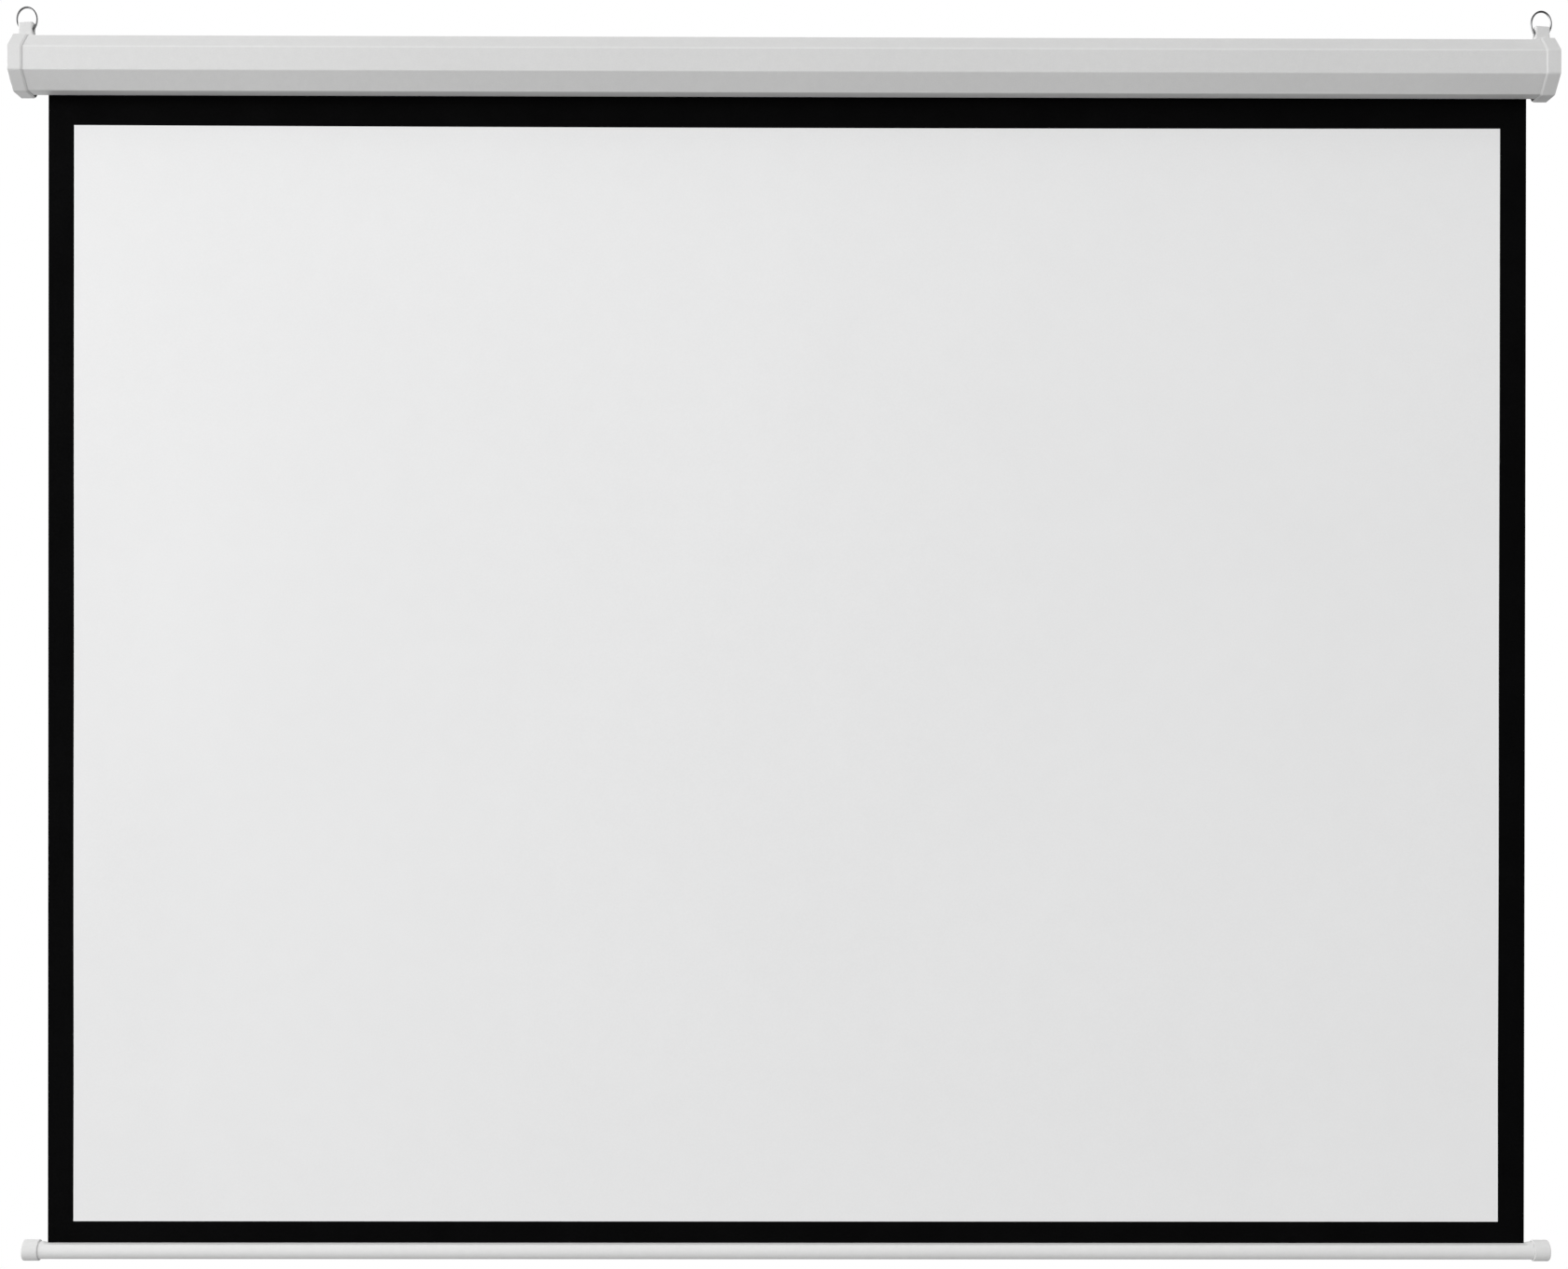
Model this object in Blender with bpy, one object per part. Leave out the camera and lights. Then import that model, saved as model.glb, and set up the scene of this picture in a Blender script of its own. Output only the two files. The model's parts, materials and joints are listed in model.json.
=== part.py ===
"""Motorized projector screen: a ceiling or wall hung case, a motor driven roller, and a 4:3 fabric.

Metres, +Z up. X runs along the case, the wall is the plane Y = 0 and the viewer is on the -Y side.
Z = 0 is the middle of the case's height. The screen is fully lowered.
"""

import math

import bmesh
import bpy
from mathutils import Vector

# Driving sizes of the case: a roll-formed octagonal channel between two moulded end caps
OVERALL_LENGTH = 2.174
CASE_FLATS = 0.078
CASE_WALL = 0.0009
CASE_BEND = 0.0035
HEM_LENGTH = 0.006
HEM_GAP = 0.0005
HEM_BEND = 0.45
SLOT_FRONT_FROM_WALL = 0.0327
SLOT_BACK_FROM_WALL = 0.0175

# Clearance between pieces that seat on each other, how deep a joined shape starts inside the piece
# that it joins, and how far the cutter of a hole through a sheet reaches
FIT = 0.0003
JOIN_DEPTH = 0.0008
CUT_REACH = 0.01

# Moulded end caps
CAP_WALL = 0.0016
CAP_PLATE = 0.0025
CAP_LIP = 0.018
CAP_RIM_SLOPE = 0.0029
CAP_RIM_EDGE = 0.0004
CAP_EDGE = 0.0008
SPIGOT_WALL = 0.0016
SPIGOT_LENGTH = 0.008

# Hanging lugs and their wire rings
LUG_INSET = 0.0030
RING_SIDE_GAP = 0.0020
LUG_DEPTH = 0.014
LUG_HEIGHT = 0.0203
LUG_FILLET = 0.0045
LUG_CORNER = 0.003
LUG_TOP_FALL = 0.0014
LUG_TOP_EDGE = 0.0008
PAD_REACH = 0.0085
PAD_DEPTH = 0.022
RING_WIRE = 0.0028
RING_WIDTH = 0.031
RING_HEIGHT = 0.038
RING_SAG = 0.0033
BORE_CLEARANCE = 0.0005
BORE_FLARE = 0.0018
BORE_FLARE_LENGTH = 0.0022
BORE_ABOVE_CAP = 0.0103

# Roller
ROLLER_WALL = 0.0012
ROLLER_ROOM = 0.0018
MOTOR_END_GAP = 0.0340
IDLER_END_GAP = 0.0240
LEADER_TURNS = 1.5

# Fabric
FABRIC_INSET = 0.0027
FABRIC_THICKNESS = 0.0004
FABRIC_FROM_WALL = 0.0245
FABRIC_DROP = 1.6393
BORDER_DROP = 0.0411

# Weight bar
BAR_INSET = 0.0027
BAR_RADIUS = 0.0125
BAR_WALL = 0.0015
BAR_SLOT = 0.0024
BAR_FLAT_DROP = 0.0018
BAR_FLAT_ANGLE = math.radians(40)
BAR_GROOVE_DEPTH = 0.0005
BAR_GROOVE_ANGLE = math.radians(2.5)
BAR_RUNOUT = 0.007
HEM_ROD_RADIUS = 0.003
BAR_CAP_WALL = 0.00205
BAR_CAP_LENGTH = 0.023
BAR_CAP_END = 0.0022
BAR_CAP_ROUND = 0.002
BAR_CAP_EDGE = 0.0006
BAR_CAP_PLUG = 0.015
BAR_CAP_PLUG_WALL = 0.0016

# Brackets that carry the motor and the idler
BRACKET_SHEET = 0.002
BRACKET_STEP = 0.0077
BRACKET_HALF_SPAN = 0.012
BRACKET_MARGIN = 0.0021
BRACKET_HEIGHT = 0.036
BRACKET_BEND = 0.0016
FOOT_SCREW_OFFSET = 0.00075

# Screws
SCREW_RADIUS = 0.002
SCREW_HEAD_RADIUS = 0.0038
SCREW_HEAD_DEPTH = 0.0018
SCREW_LENGTH = 0.0085
SMALL_SCREW_RADIUS = 0.0015
SMALL_HEAD_RADIUS = 0.0032
SMALL_HEAD_HEIGHT = 0.0018
PAN_CROWN = 0.7
PAN_EDGE = 0.55
CAP_SCREW_REACH = 0.007
SOCKET_RADIUS = 0.0013
SOCKET_DEPTH = 0.0011

# Tubular motor
MOTOR_RADIUS = 0.0175
MOTOR_LENGTH = 0.429
MOTOR_BEAD = 0.0005
MOTOR_BEAD_PLACES = (0.030, 0.330)
NOSE_RADIUS = 0.009
NOSE_LENGTH = 0.001
HEAD_INSET = 0.0013
HEAD_LENGTH = 0.0202
STUB_HALF = 0.0055
STUB_NECK = 0.0042
STUB_REACH = 0.0073
CLIP_SHEET = 0.001
CLIP_FROM_TIP = 0.0016
CLIP_ARM = 0.003
CLIP_CORNER = 0.001
SHAFT_RADIUS = 0.005
SHAFT_FLAT = 0.0038
SHAFT_SOCKET = 0.008
SHAFT_REACH = 0.028
SHAFT_GROOVE = 0.0006
SNAP_RING_SHEET = 0.0009
SNAP_RING_REACH = 0.0025
WHEEL_LENGTH = 0.020
WHEEL_FROM_MOTOR = 0.003
WHEEL_HUB_WALL = 0.0035
WHEEL_RIM = 0.0025
WHEEL_WEB = 0.002
WHEEL_POCKETS = 6
WHEEL_SPOKE_ANGLE = 0.22
WHEEL_SCREW_HEAD = 0.0027
WHEEL_SCREW_REACH = 0.004
CROWN_SLEEVE = 0.0155
CROWN_FLANGE = 0.0025
CROWN_KEY_WIDTH = 0.004
CROWN_KEY_LENGTH = 0.005
LIMIT_SCREW_RADIUS = 0.0024
LIMIT_SCREW_LENGTH = 0.0073
LIMIT_SCREW_SPACING = 0.0066
LIMIT_SCREW_FROM_CROWN = 0.0040
LIMIT_SCREW_SOCKET = 0.003

# Idler end
IDLER_PIN_RADIUS = 0.004
IDLER_PLUG_LENGTH = 0.0255
IDLER_PLUG_WALL = 0.002
IDLER_HUB_RADIUS = 0.0078
IDLER_WEB = 0.002
PIN_END_GAP = 0.003
PIN_GROOVE = 0.0009
PIN_GROOVE_FROM_TIP = 0.0016
BUSH_RADIUS = 0.0065
BUSH_FLANGE_RADIUS = 0.009
BUSH_FLANGE = 0.0016
BUSH_STAND = 0.0005

# Receiver and its lead
BOX_LENGTH = 0.110
BOX_HEIGHT = 0.028
BOX_DEPTH = 0.0162
BOX_WALL = 0.0015
BOX_FROM_CASE_END = 0.044
EAR_LENGTH = 0.010
EAR_THICKNESS = 0.002
POST_SIDE = 0.004
POST_HEIGHT = 0.004
POST_FROM_END = 0.010
POST_FROM_MIDDLE = 0.008
LID_RIM = 0.001
LID_RIM_DEPTH = 0.002
BOARD_THICKNESS = 0.0016
BOARD_GAP = 0.0008
LEAD_RADIUS = 0.0025
LEAD_BEND = 0.012
LEAD_HEIGHT = 0.004
LEAD_SOCKET = 0.004
LEAD_TAIL = 0.001

# The board's parts: distance from the box's end, length, lowest and highest edge, height off the board
BOARD_PARTS = {"terminals": (0.012, 0.010, -0.009, 0.009, 0.0050),
               "up relay": (0.030, 0.016, -0.008, 0.001, 0.0052),
               "down relay": (0.050, 0.016, -0.008, 0.001, 0.0052),
               "transformer": (0.074, 0.020, -0.009, 0.008, 0.0056)}

# Bush for the mains cord
GROMMET_BORE = 0.004
GROMMET_NECK = 0.0062
GROMMET_FLANGE = 0.008
GROMMET_FLANGE_DEPTH = 0.001
GROMMET_SNAP = 0.0009
GROMMET_SNAP_LENGTH = 0.0014
GROMMET_TAPER = 0.0004

# Facets
ROUND = 32
SMALL_ROUND = 16
TUBE_ROUND = 40
WIRE_ROUND = 8
RING_STEPS = 36
BEND_STEPS = 3
SHARP_ANGLE = math.radians(35)

# Sizes that follow from the driving ones
END_X = OVERALL_LENGTH / 2
PLATE_X = END_X - CAP_PLATE
CASE_END = PLATE_X - FIT
CASE_Y = -CASE_FLATS / 2
CAP_INNER_FLATS = CASE_FLATS + 2 * FIT
CAP_FLATS = CAP_INNER_FLATS + 2 * CAP_WALL
CAP_TOP = CAP_FLATS / 2
LUG_WIDTH = RING_WIDTH - 2 * RING_WIRE - 2 * RING_SIDE_GAP
BORE_RADIUS = RING_SAG + RING_WIRE / 2 + BORE_CLEARANCE
ROLLER_BORE = MOTOR_RADIUS + ROLLER_ROOM
ROLLER_RADIUS = ROLLER_BORE + ROLLER_WALL
HEAD_RADIUS = ROLLER_RADIUS - HEAD_INSET
LEADER_PITCH = FABRIC_THICKNESS + FIT
LEADER_START = ROLLER_RADIUS + FIT + FABRIC_THICKNESS / 2
LEADER_END = LEADER_START + LEADER_PITCH * LEADER_TURNS
FABRIC_Y = -FABRIC_FROM_WALL
ROLLER_Y = FABRIC_Y - LEADER_END
ROLLER_LEFT = -(CASE_END - MOTOR_END_GAP)
ROLLER_RIGHT = CASE_END - IDLER_END_GAP
FABRIC_WIDTH = ROLLER_RIGHT - ROLLER_LEFT - 2 * FABRIC_INSET
FABRIC_X = (ROLLER_LEFT + ROLLER_RIGHT) / 2
BAR_Z = -FABRIC_DROP - BORDER_DROP
BAR_END = END_X - BAR_INSET
BAR_CAP_CUP = BAR_RADIUS + FIT
BAR_CAP_RADIUS = BAR_CAP_CUP + BAR_CAP_WALL
BAR_BORE = BAR_RADIUS - BAR_WALL
SPIGOT_FLATS = CASE_FLATS - 2 * CASE_WALL - 2 * FIT
SPIGOT_BORE = SPIGOT_FLATS - 2 * SPIGOT_WALL
BRACKET_REACH = SPIGOT_BORE * math.sqrt(0.5) - BRACKET_HEIGHT / 2 + ROLLER_Y - CASE_Y - BRACKET_MARGIN
BRACKET_FACE = PLATE_X - FIT - BRACKET_STEP - BRACKET_SHEET
HEAD_X = BRACKET_FACE - FIT
MOTOR_X = HEAD_X - HEAD_LENGTH
MOTOR_END = MOTOR_X - MOTOR_LENGTH
LUG_OUTER = END_X - LUG_INSET
LUG_X = LUG_OUTER - LUG_WIDTH / 2
BORE_Z = CAP_TOP + BORE_ABOVE_CAP

WHITE_STEEL = ((0.86, 0.86, 0.85), 0.42, 0.0)
WHITE_PLASTIC = ((0.88, 0.88, 0.87), 0.38, 0.0)
BLACK_PLASTIC = ((0.03, 0.03, 0.03), 0.5, 0.0)
GREY_PLASTIC = ((0.35, 0.36, 0.37), 0.5, 0.0)
NATURAL_NYLON = ((0.75, 0.74, 0.68), 0.45, 0.0)
ZINC_STEEL = ((0.62, 0.63, 0.64), 0.35, 1.0)
CHROME = ((0.80, 0.80, 0.80), 0.12, 1.0)
ALUMINIUM = ((0.72, 0.73, 0.74), 0.35, 1.0)
WHITE_FABRIC = ((0.88, 0.88, 0.88), 0.85, 0.0)
BLACK_FABRIC = ((0.02, 0.02, 0.02), 0.8, 0.0)
GREEN_BOARD = ((0.04, 0.20, 0.09), 0.5, 0.0)
RED_PLASTIC = ((0.60, 0.05, 0.04), 0.45, 0.0)
YELLOW_PLASTIC = ((0.75, 0.55, 0.05), 0.45, 0.0)


# Outlines in a plane, as lists of 2D points

def rounded(corners, radius, closed=True, steps=BEND_STEPS):
    """The polygon or open path through the corners, with each corner turned into an arc."""
    radii = radius if isinstance(radius, list) else [radius] * len(corners)
    points = []
    for i, corner in enumerate(corners):
        here = Vector(corner)
        if radii[i] == 0 or (not closed and i in (0, len(corners) - 1)):
            points.append(here)
            continue
        into = (here - Vector(corners[i - 1])).normalized()
        out = (Vector(corners[(i + 1) % len(corners)]) - here).normalized()
        turn = math.atan2(into.x * out.y - into.y * out.x, into.dot(out))
        side = math.copysign(radii[i], turn)
        start = here - into * (radii[i] * math.tan(abs(turn) / 2))
        centre = start + Vector((-into.y, into.x)) * side
        for step in range(steps + 1):
            angle = turn * step / steps
            arm = start - centre
            points.append(centre + Vector((arm.x * math.cos(angle) - arm.y * math.sin(angle),
                                           arm.x * math.sin(angle) + arm.y * math.cos(angle))))
    return points


def sheet_section(path, thickness):
    """The closed outline of a sheet of one thickness that follows an open path."""
    left = []
    right = []
    for i, here in enumerate(path):
        into = (here - path[i - 1]).normalized() if i > 0 else None
        out = (path[i + 1] - here).normalized() if i < len(path) - 1 else None
        into = into or out
        out = out or into
        along = (into + out).normalized()
        mitre = thickness / 2 / max(along.dot(into), 0.2)
        normal = Vector((-along.y, along.x)) * mitre
        left.append(here + normal)
        right.append(here - normal)
    return left + right[::-1]


def octagon(flats):
    """A regular octagon across its flats, its corners rounded concentric with the case's bends."""
    far = flats / 2
    near = far * math.tan(math.pi / 8)
    corners = [(-near, -far), (-far, -near), (-far, near), (-near, far),
               (near, far), (far, near), (far, -near), (near, -far)]
    return rounded(corners, CASE_BEND + (flats - CASE_FLATS) / 2)


def circle(radius, count=ROUND):
    return [Vector((radius * math.cos(2 * math.pi * i / count), radius * math.sin(2 * math.pi * i / count)))
            for i in range(count)]


def rectangle(low, high):
    return [Vector((low[0], low[1])), Vector((high[0], low[1])), Vector(high), Vector((low[0], high[1]))]


# Solids

def loft(sections, closed=False):
    """Skin a row of loops that have the same number of points, capped unless the row closes on itself."""
    shape = bmesh.new()
    rings = [[shape.verts.new(point) for point in section] for section in sections]
    pairs = list(zip(rings, rings[1:]))
    if closed:
        pairs.append((rings[-1], rings[0]))
    else:
        shape.faces.new(rings[0])
        shape.faces.new(rings[-1])
    for one, other in pairs:
        for i in range(len(one)):
            j = (i + 1) % len(one)
            shape.faces.new((one[i], one[j], other[j], other[i]))
    return shape


AXES = {"X": lambda along, u, v: (along, u, v),
        "Y": lambda along, u, v: (u, along, v),
        "Z": lambda along, u, v: (u, v, along)}


def prism(outline, low, high, axis="X"):
    """An outline extruded along an axis; its two coordinates are the other axes in order."""
    return loft([[AXES[axis](along, u, v) for u, v in outline] for along in (low, high)])


def pipe(outer, inner, low, high, axis="X"):
    place = AXES[axis]
    loops = [(outer, low), (outer, high), (inner, high), (inner, low)]
    return loft([[place(along, u, v) for u, v in outline] for outline, along in loops], closed=True)


def stepped(outlines, axis="X"):
    """Loft (along, outline) pairs; two pairs at one place make a step."""
    return loft([[AXES[axis](along, u, v) for u, v in outline] for along, outline in outlines])


def turned(profile, axis="X", count=ROUND):
    """Turn a profile of (along, radius) points about an axis.

    A profile that starts and ends on the axis makes a solid, and a closed one makes a ring.
    """
    shape = bmesh.new()
    rings = []
    for along, radius in profile:
        if radius == 0:
            rings.append([shape.verts.new(AXES[axis](along, 0, 0))] * count)
        else:
            rings.append([shape.verts.new(AXES[axis](along, u, v)) for u, v in circle(radius, count)])
    pairs = list(zip(rings, rings[1:]))
    if profile[0][1] > 0:
        pairs.append((rings[-1], rings[0]))
    for one, other in pairs:
        for i in range(count):
            j = (i + 1) % count
            corners = [one[i], one[j], other[j], other[i]]
            distinct = [v for k, v in enumerate(corners) if v not in corners[:k]]
            if len(distinct) > 2:
                shape.faces.new(distinct)
    return shape


def block(low, high):
    return prism(rectangle(low[1:], high[1:]), low[0], high[0])


# Objects

def empty(name, location, parent=None, tilt=0.0):
    guide = bpy.data.objects.new(name, None)
    bpy.context.scene.collection.objects.link(guide)
    guide.parent = parent
    guide.location = location
    guide.rotation_euler = (tilt, 0, 0)
    return guide


def add(name, shape, look, parent):
    """Put a shape into the scene as a named piece with a material of its own."""
    bmesh.ops.recalc_face_normals(shape, faces=shape.faces)
    mesh = bpy.data.meshes.new(name)
    shape.to_mesh(mesh)
    shape.free()
    mesh.shade_smooth()
    mesh.set_sharp_from_angle(angle=SHARP_ANGLE)
    piece = bpy.data.objects.new(name, mesh)
    bpy.context.scene.collection.objects.link(piece)
    piece.parent = parent
    if look:
        give_material(piece, look)
    return piece


def give_material(piece, look):
    colour, roughness, metallic = look
    material = bpy.data.materials.new(piece.name)
    material.use_nodes = True
    shader = material.node_tree.nodes["Principled BSDF"]
    shader.inputs["Base Color"].default_value = (*colour, 1.0)
    shader.inputs["Roughness"].default_value = roughness
    shader.inputs["Metallic"].default_value = metallic
    piece.data.materials.append(material)


def combine(piece, shape, operation):
    """Cut a shape out of a piece, or join it on, in the piece's own frame."""
    tool = add(f"{piece.name}_tool_{len(piece.modifiers)}", shape, None, piece.parent)
    tool.location = piece.location
    tool.hide_render = True
    tool.display_type = "WIRE"
    change = piece.modifiers.new(operation.lower(), "BOOLEAN")
    change.operation = operation
    change.solver = "EXACT"
    change.object = tool
    return tool


def cut(piece, shape):
    return combine(piece, shape, "DIFFERENCE")


def join(piece, shape):
    return combine(piece, shape, "UNION")


def countersunk(head_x, tip_x, side):
    """A countersunk screw along X with a hexagonal socket; x grows away from the middle."""
    steps = [(head_x, 0), (head_x, SCREW_HEAD_RADIUS), (head_x - SCREW_HEAD_DEPTH, SCREW_RADIUS),
             (tip_x, SCREW_RADIUS), (tip_x, 0)]
    return turned([(side * x, r) for x, r in steps], count=SMALL_ROUND)


def pan_head(seat, tip, axis="Z"):
    """A pan head screw that sits on the plane at seat and points at tip."""
    outward = math.copysign(SMALL_HEAD_HEIGHT, seat - tip)
    profile = [(seat + outward, 0), (seat + outward, SMALL_HEAD_RADIUS * PAN_CROWN),
               (seat + outward * PAN_EDGE, SMALL_HEAD_RADIUS), (seat, SMALL_HEAD_RADIUS),
               (seat, SMALL_SCREW_RADIUS), (tip, SMALL_SCREW_RADIUS), (tip, 0)]
    return turned(profile, axis=axis, count=SMALL_ROUND)


def socket(place, axis="Z", outward=1):
    """The hexagonal recess in a screw's head, whose face is at place."""
    depth = outward * SOCKET_DEPTH
    return prism(circle(SOCKET_RADIUS, 6), place - depth, place + depth, axis)


# The case and its ends

def slot_edges():
    """The slot's front edge, across the case, and its back edge, on the lower back facet."""
    far = (CASE_FLATS - CASE_WALL) / 2
    back = -SLOT_BACK_FROM_WALL - CASE_Y
    return -SLOT_FRONT_FROM_WALL - CASE_Y, Vector((back, back - far * math.sqrt(2)))


def case_path():
    """The mid line of the case's sheet, from the front slot lip round to the back one."""
    far = (CASE_FLATS - CASE_WALL) / 2
    near = far * math.tan(math.pi / 8)
    fold = CASE_WALL + HEM_GAP
    slant = math.sqrt(0.5)
    front, back = slot_edges()
    inward = Vector((-slant, slant)) * fold
    corners = [(front - HEM_LENGTH, -far + fold), (front, -far + fold), (front, -far),
               (-near, -far), (-far, -near), (-far, near), (-near, far),
               (near, far), (far, near), (far, -near),
               back, back + inward, back + inward + Vector((slant, slant)) * HEM_LENGTH]
    bend = CASE_BEND - CASE_WALL / 2
    turn = fold * HEM_BEND
    radii = [0, turn, turn] + [bend] * 7 + [turn, turn, 0]
    return rounded(corners, radii, closed=False)


def make_case(centre):
    case = add("case_housing", prism(sheet_section(case_path(), CASE_WALL), -CASE_END, CASE_END),
               WHITE_STEEL, centre)
    for side in (-1, 1):
        place_cap_screw(cut(case, cap_screw_hole()), side)
    cut(case, receiver_hole(CASE_FLATS / 2 - CUT_REACH, CASE_FLATS / 2 + CUT_REACH))


def cap_screw_hole():
    return prism(circle(SMALL_SCREW_RADIUS + FIT, SMALL_ROUND), -CUT_REACH, CUT_REACH, "Z")


def place_cap_screw(piece, side):
    """The screw through each cap's lip sits square on the case's upper back facet."""
    reach = CAP_FLATS / 2
    slant = math.sqrt(0.5)
    piece.location = (side * (PLATE_X - SPIGOT_LENGTH / 2), reach * slant, reach * slant)
    piece.rotation_euler = (-math.pi / 4, 0, 0)


def cap_shell(side):
    """The cap's plate, lip and sloping rim, from the outer face round to the plate's inner face."""
    rim = END_X - CAP_LIP - CAP_RIM_SLOPE
    stations = [(END_X, CAP_FLATS - 2 * CAP_EDGE), (END_X - CAP_EDGE, CAP_FLATS),
                (END_X - CAP_LIP, CAP_FLATS), (rim, CAP_INNER_FLATS + 2 * CAP_RIM_EDGE),
                (rim, CAP_INNER_FLATS), (PLATE_X, CAP_INNER_FLATS)]
    return stepped([(side * x, octagon(flats)) for x, flats in stations])


def lug_plan(inner, outer, half_depth, height, fall, side):
    """A rounded rectangle across the lug at one height, its outer side lower by the fall."""
    corners = [(inner, -half_depth), (outer, -half_depth), (outer, half_depth), (inner, half_depth)]
    plan = rounded(corners, LUG_CORNER)
    return [(side * x, y, height - fall * (x - inner) / (outer - inner)) for x, y in plan]


def lug_solid(side):
    """The hanging lug: a flared foot, straight walls and an eased, slightly sloping top."""
    inner = LUG_OUTER - LUG_WIDTH
    half = LUG_DEPTH / 2
    foot = CAP_TOP - CAP_WALL / 2
    sections = [lug_plan(inner - LUG_FILLET, LUG_OUTER, half + LUG_FILLET, foot, 0, side)]
    for step in range(BEND_STEPS + 1):
        angle = math.pi / 2 * step / BEND_STEPS
        spread = LUG_FILLET * (1 - math.sin(angle))
        height = CAP_TOP + LUG_FILLET * (1 - math.cos(angle))
        sections.append(lug_plan(inner - spread, LUG_OUTER, half + spread, height, 0, side))
    top = CAP_TOP + LUG_HEIGHT
    sections.append(lug_plan(inner, LUG_OUTER, half, top - LUG_TOP_EDGE, LUG_TOP_FALL, side))
    ease = LUG_TOP_EDGE
    sections.append(lug_plan(inner + ease, LUG_OUTER - ease, half - ease, top, LUG_TOP_FALL, side))
    return loft(sections)


def bore_solid(side):
    """The lug's bore along X, flared at both mouths so that the ring's curve clears it."""
    half = LUG_WIDTH / 2
    beyond = half + BORE_FLARE_LENGTH
    straight = half - BORE_FLARE_LENGTH
    mouth = BORE_RADIUS + 2 * BORE_FLARE
    profile = [(-beyond, 0), (-beyond, mouth), (-straight, BORE_RADIUS), (straight, BORE_RADIUS),
               (beyond, mouth), (beyond, 0)]
    shape = turned(profile, count=SMALL_ROUND)
    bmesh.ops.translate(shape, vec=(side * LUG_X, 0, BORE_Z), verts=shape.verts)
    return shape


def foot_screw_places():
    """Where the bracket screws go, across the case from its centre."""
    reach = (BRACKET_HALF_SPAN + BRACKET_REACH) / 2 + FOOT_SCREW_OFFSET
    return {"front": ROLLER_Y - CASE_Y - reach, "rear": ROLLER_Y - CASE_Y + reach}


def make_cap(name, side, centre):
    cap = add(name, cap_shell(side), WHITE_PLASTIC, centre)
    spigot = join(cap, pipe(octagon(SPIGOT_FLATS), octagon(SPIGOT_BORE), side * (PLATE_X + CAP_PLATE / 2),
                            side * (PLATE_X - SPIGOT_LENGTH)))
    front, back = slot_edges()
    hem = HEM_LENGTH + CASE_WALL + HEM_GAP + 4 * FIT
    ends = sorted((side * (PLATE_X - 2 * SPIGOT_LENGTH), side * PLATE_X))
    cut(spigot, block((ends[0], front - hem, -CASE_FLATS), (ends[1], back.x + hem, back.y + hem)))
    rim = END_X - CAP_LIP - CAP_RIM_SLOPE
    pad = prism(rectangle((-PAD_DEPTH / 2, CAP_INNER_FLATS / 2), (PAD_DEPTH / 2, CAP_TOP)),
                side * (rim - PAD_REACH), side * (END_X - CAP_LIP / 2))
    join(cap, pad)
    join(cap, lug_solid(side))
    cut(cap, bore_solid(side))
    wall = CASE_FLATS / 2
    cut(cap, block((-END_X * 2, wall, -wall * 2), (END_X * 2, wall * 2, wall * 2)))
    for across in foot_screw_places().values():
        slant = FIT * math.sqrt(2)
        cone_end = END_X - FIT - SCREW_HEAD_DEPTH - (slant - FIT)
        slope = (SCREW_HEAD_RADIUS - SCREW_RADIUS) / SCREW_HEAD_DEPTH
        mouth = SCREW_RADIUS + FIT + (END_X + FIT - cone_end) * slope
        hole = [(END_X + FIT, 0), (END_X + FIT, mouth), (cone_end, SCREW_RADIUS + FIT),
                (PLATE_X - FIT, SCREW_RADIUS + FIT), (PLATE_X - FIT, 0)]
        cut(cap, turned([(side * x, r) for x, r in hole], count=SMALL_ROUND)).location.y = across
    place_cap_screw(cut(cap, cap_screw_hole()), side)
    return cap


def make_cap_screw(name, side, centre):
    screw = add(name, pan_head(FIT, -CAP_SCREW_REACH), ZINC_STEEL, centre)
    place_cap_screw(screw, side)
    recess = cut(screw, socket(FIT + SMALL_HEAD_HEIGHT))
    place_cap_screw(recess, side)


def make_bracket(name, side, centre):
    """A hat-shaped bracket: two feet on the cap's plate and a raised face that carries the roller."""
    foot = PLATE_X - FIT - BRACKET_SHEET / 2
    face = foot - BRACKET_STEP
    path = [(foot, -BRACKET_REACH), (foot, -BRACKET_HALF_SPAN), (face, -BRACKET_HALF_SPAN),
            (face, BRACKET_HALF_SPAN), (foot, BRACKET_HALF_SPAN), (foot, BRACKET_REACH)]
    outline = sheet_section(rounded(path, BRACKET_BEND, closed=False), BRACKET_SHEET)
    bracket = add(name, prism([(side * x, y) for x, y in outline], -BRACKET_HEIGHT / 2,
                              BRACKET_HEIGHT / 2, "Z"), ZINC_STEEL, centre)
    bracket.location.y = ROLLER_Y - CASE_Y
    for across in foot_screw_places().values():
        hole = turned([(side * (PLATE_X + FIT), 0), (side * (PLATE_X + FIT), SCREW_RADIUS + FIT),
                       (side * (foot - BRACKET_SHEET), SCREW_RADIUS + FIT),
                       (side * (foot - BRACKET_SHEET), 0)], count=SMALL_ROUND)
        cut(bracket, hole).location.y = across
    return bracket


def make_bracket_screws(label, side, centre):
    for position, across in foot_screw_places().items():
        shape = countersunk(END_X - FIT, END_X - SCREW_LENGTH, side)
        screw = add(f"{label}_{position}_bracket_screw", shape, ZINC_STEEL, centre)
        screw.location.y = across
        cut(screw, socket(side * (END_X - FIT), "X", side))


# The tubular motor, which stays still inside the roller

def limit_screw_frames(roller_axis):
    """Empties on the limit screws' axes, which point from the roller's axis at the case's slot."""
    slot_middle = -(SLOT_FRONT_FROM_WALL + SLOT_BACK_FROM_WALL) / 2
    tilt = math.atan2(-(slot_middle - ROLLER_Y), -CASE_FLATS / 2)
    inner = -MOTOR_X - LIMIT_SCREW_FROM_CROWN
    places = {"up": inner - LIMIT_SCREW_SPACING, "down": inner}
    return {which: empty(f"limit_axis_{which}", (x, 0, 0), roller_axis, tilt) for which, x in places.items()}


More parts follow.
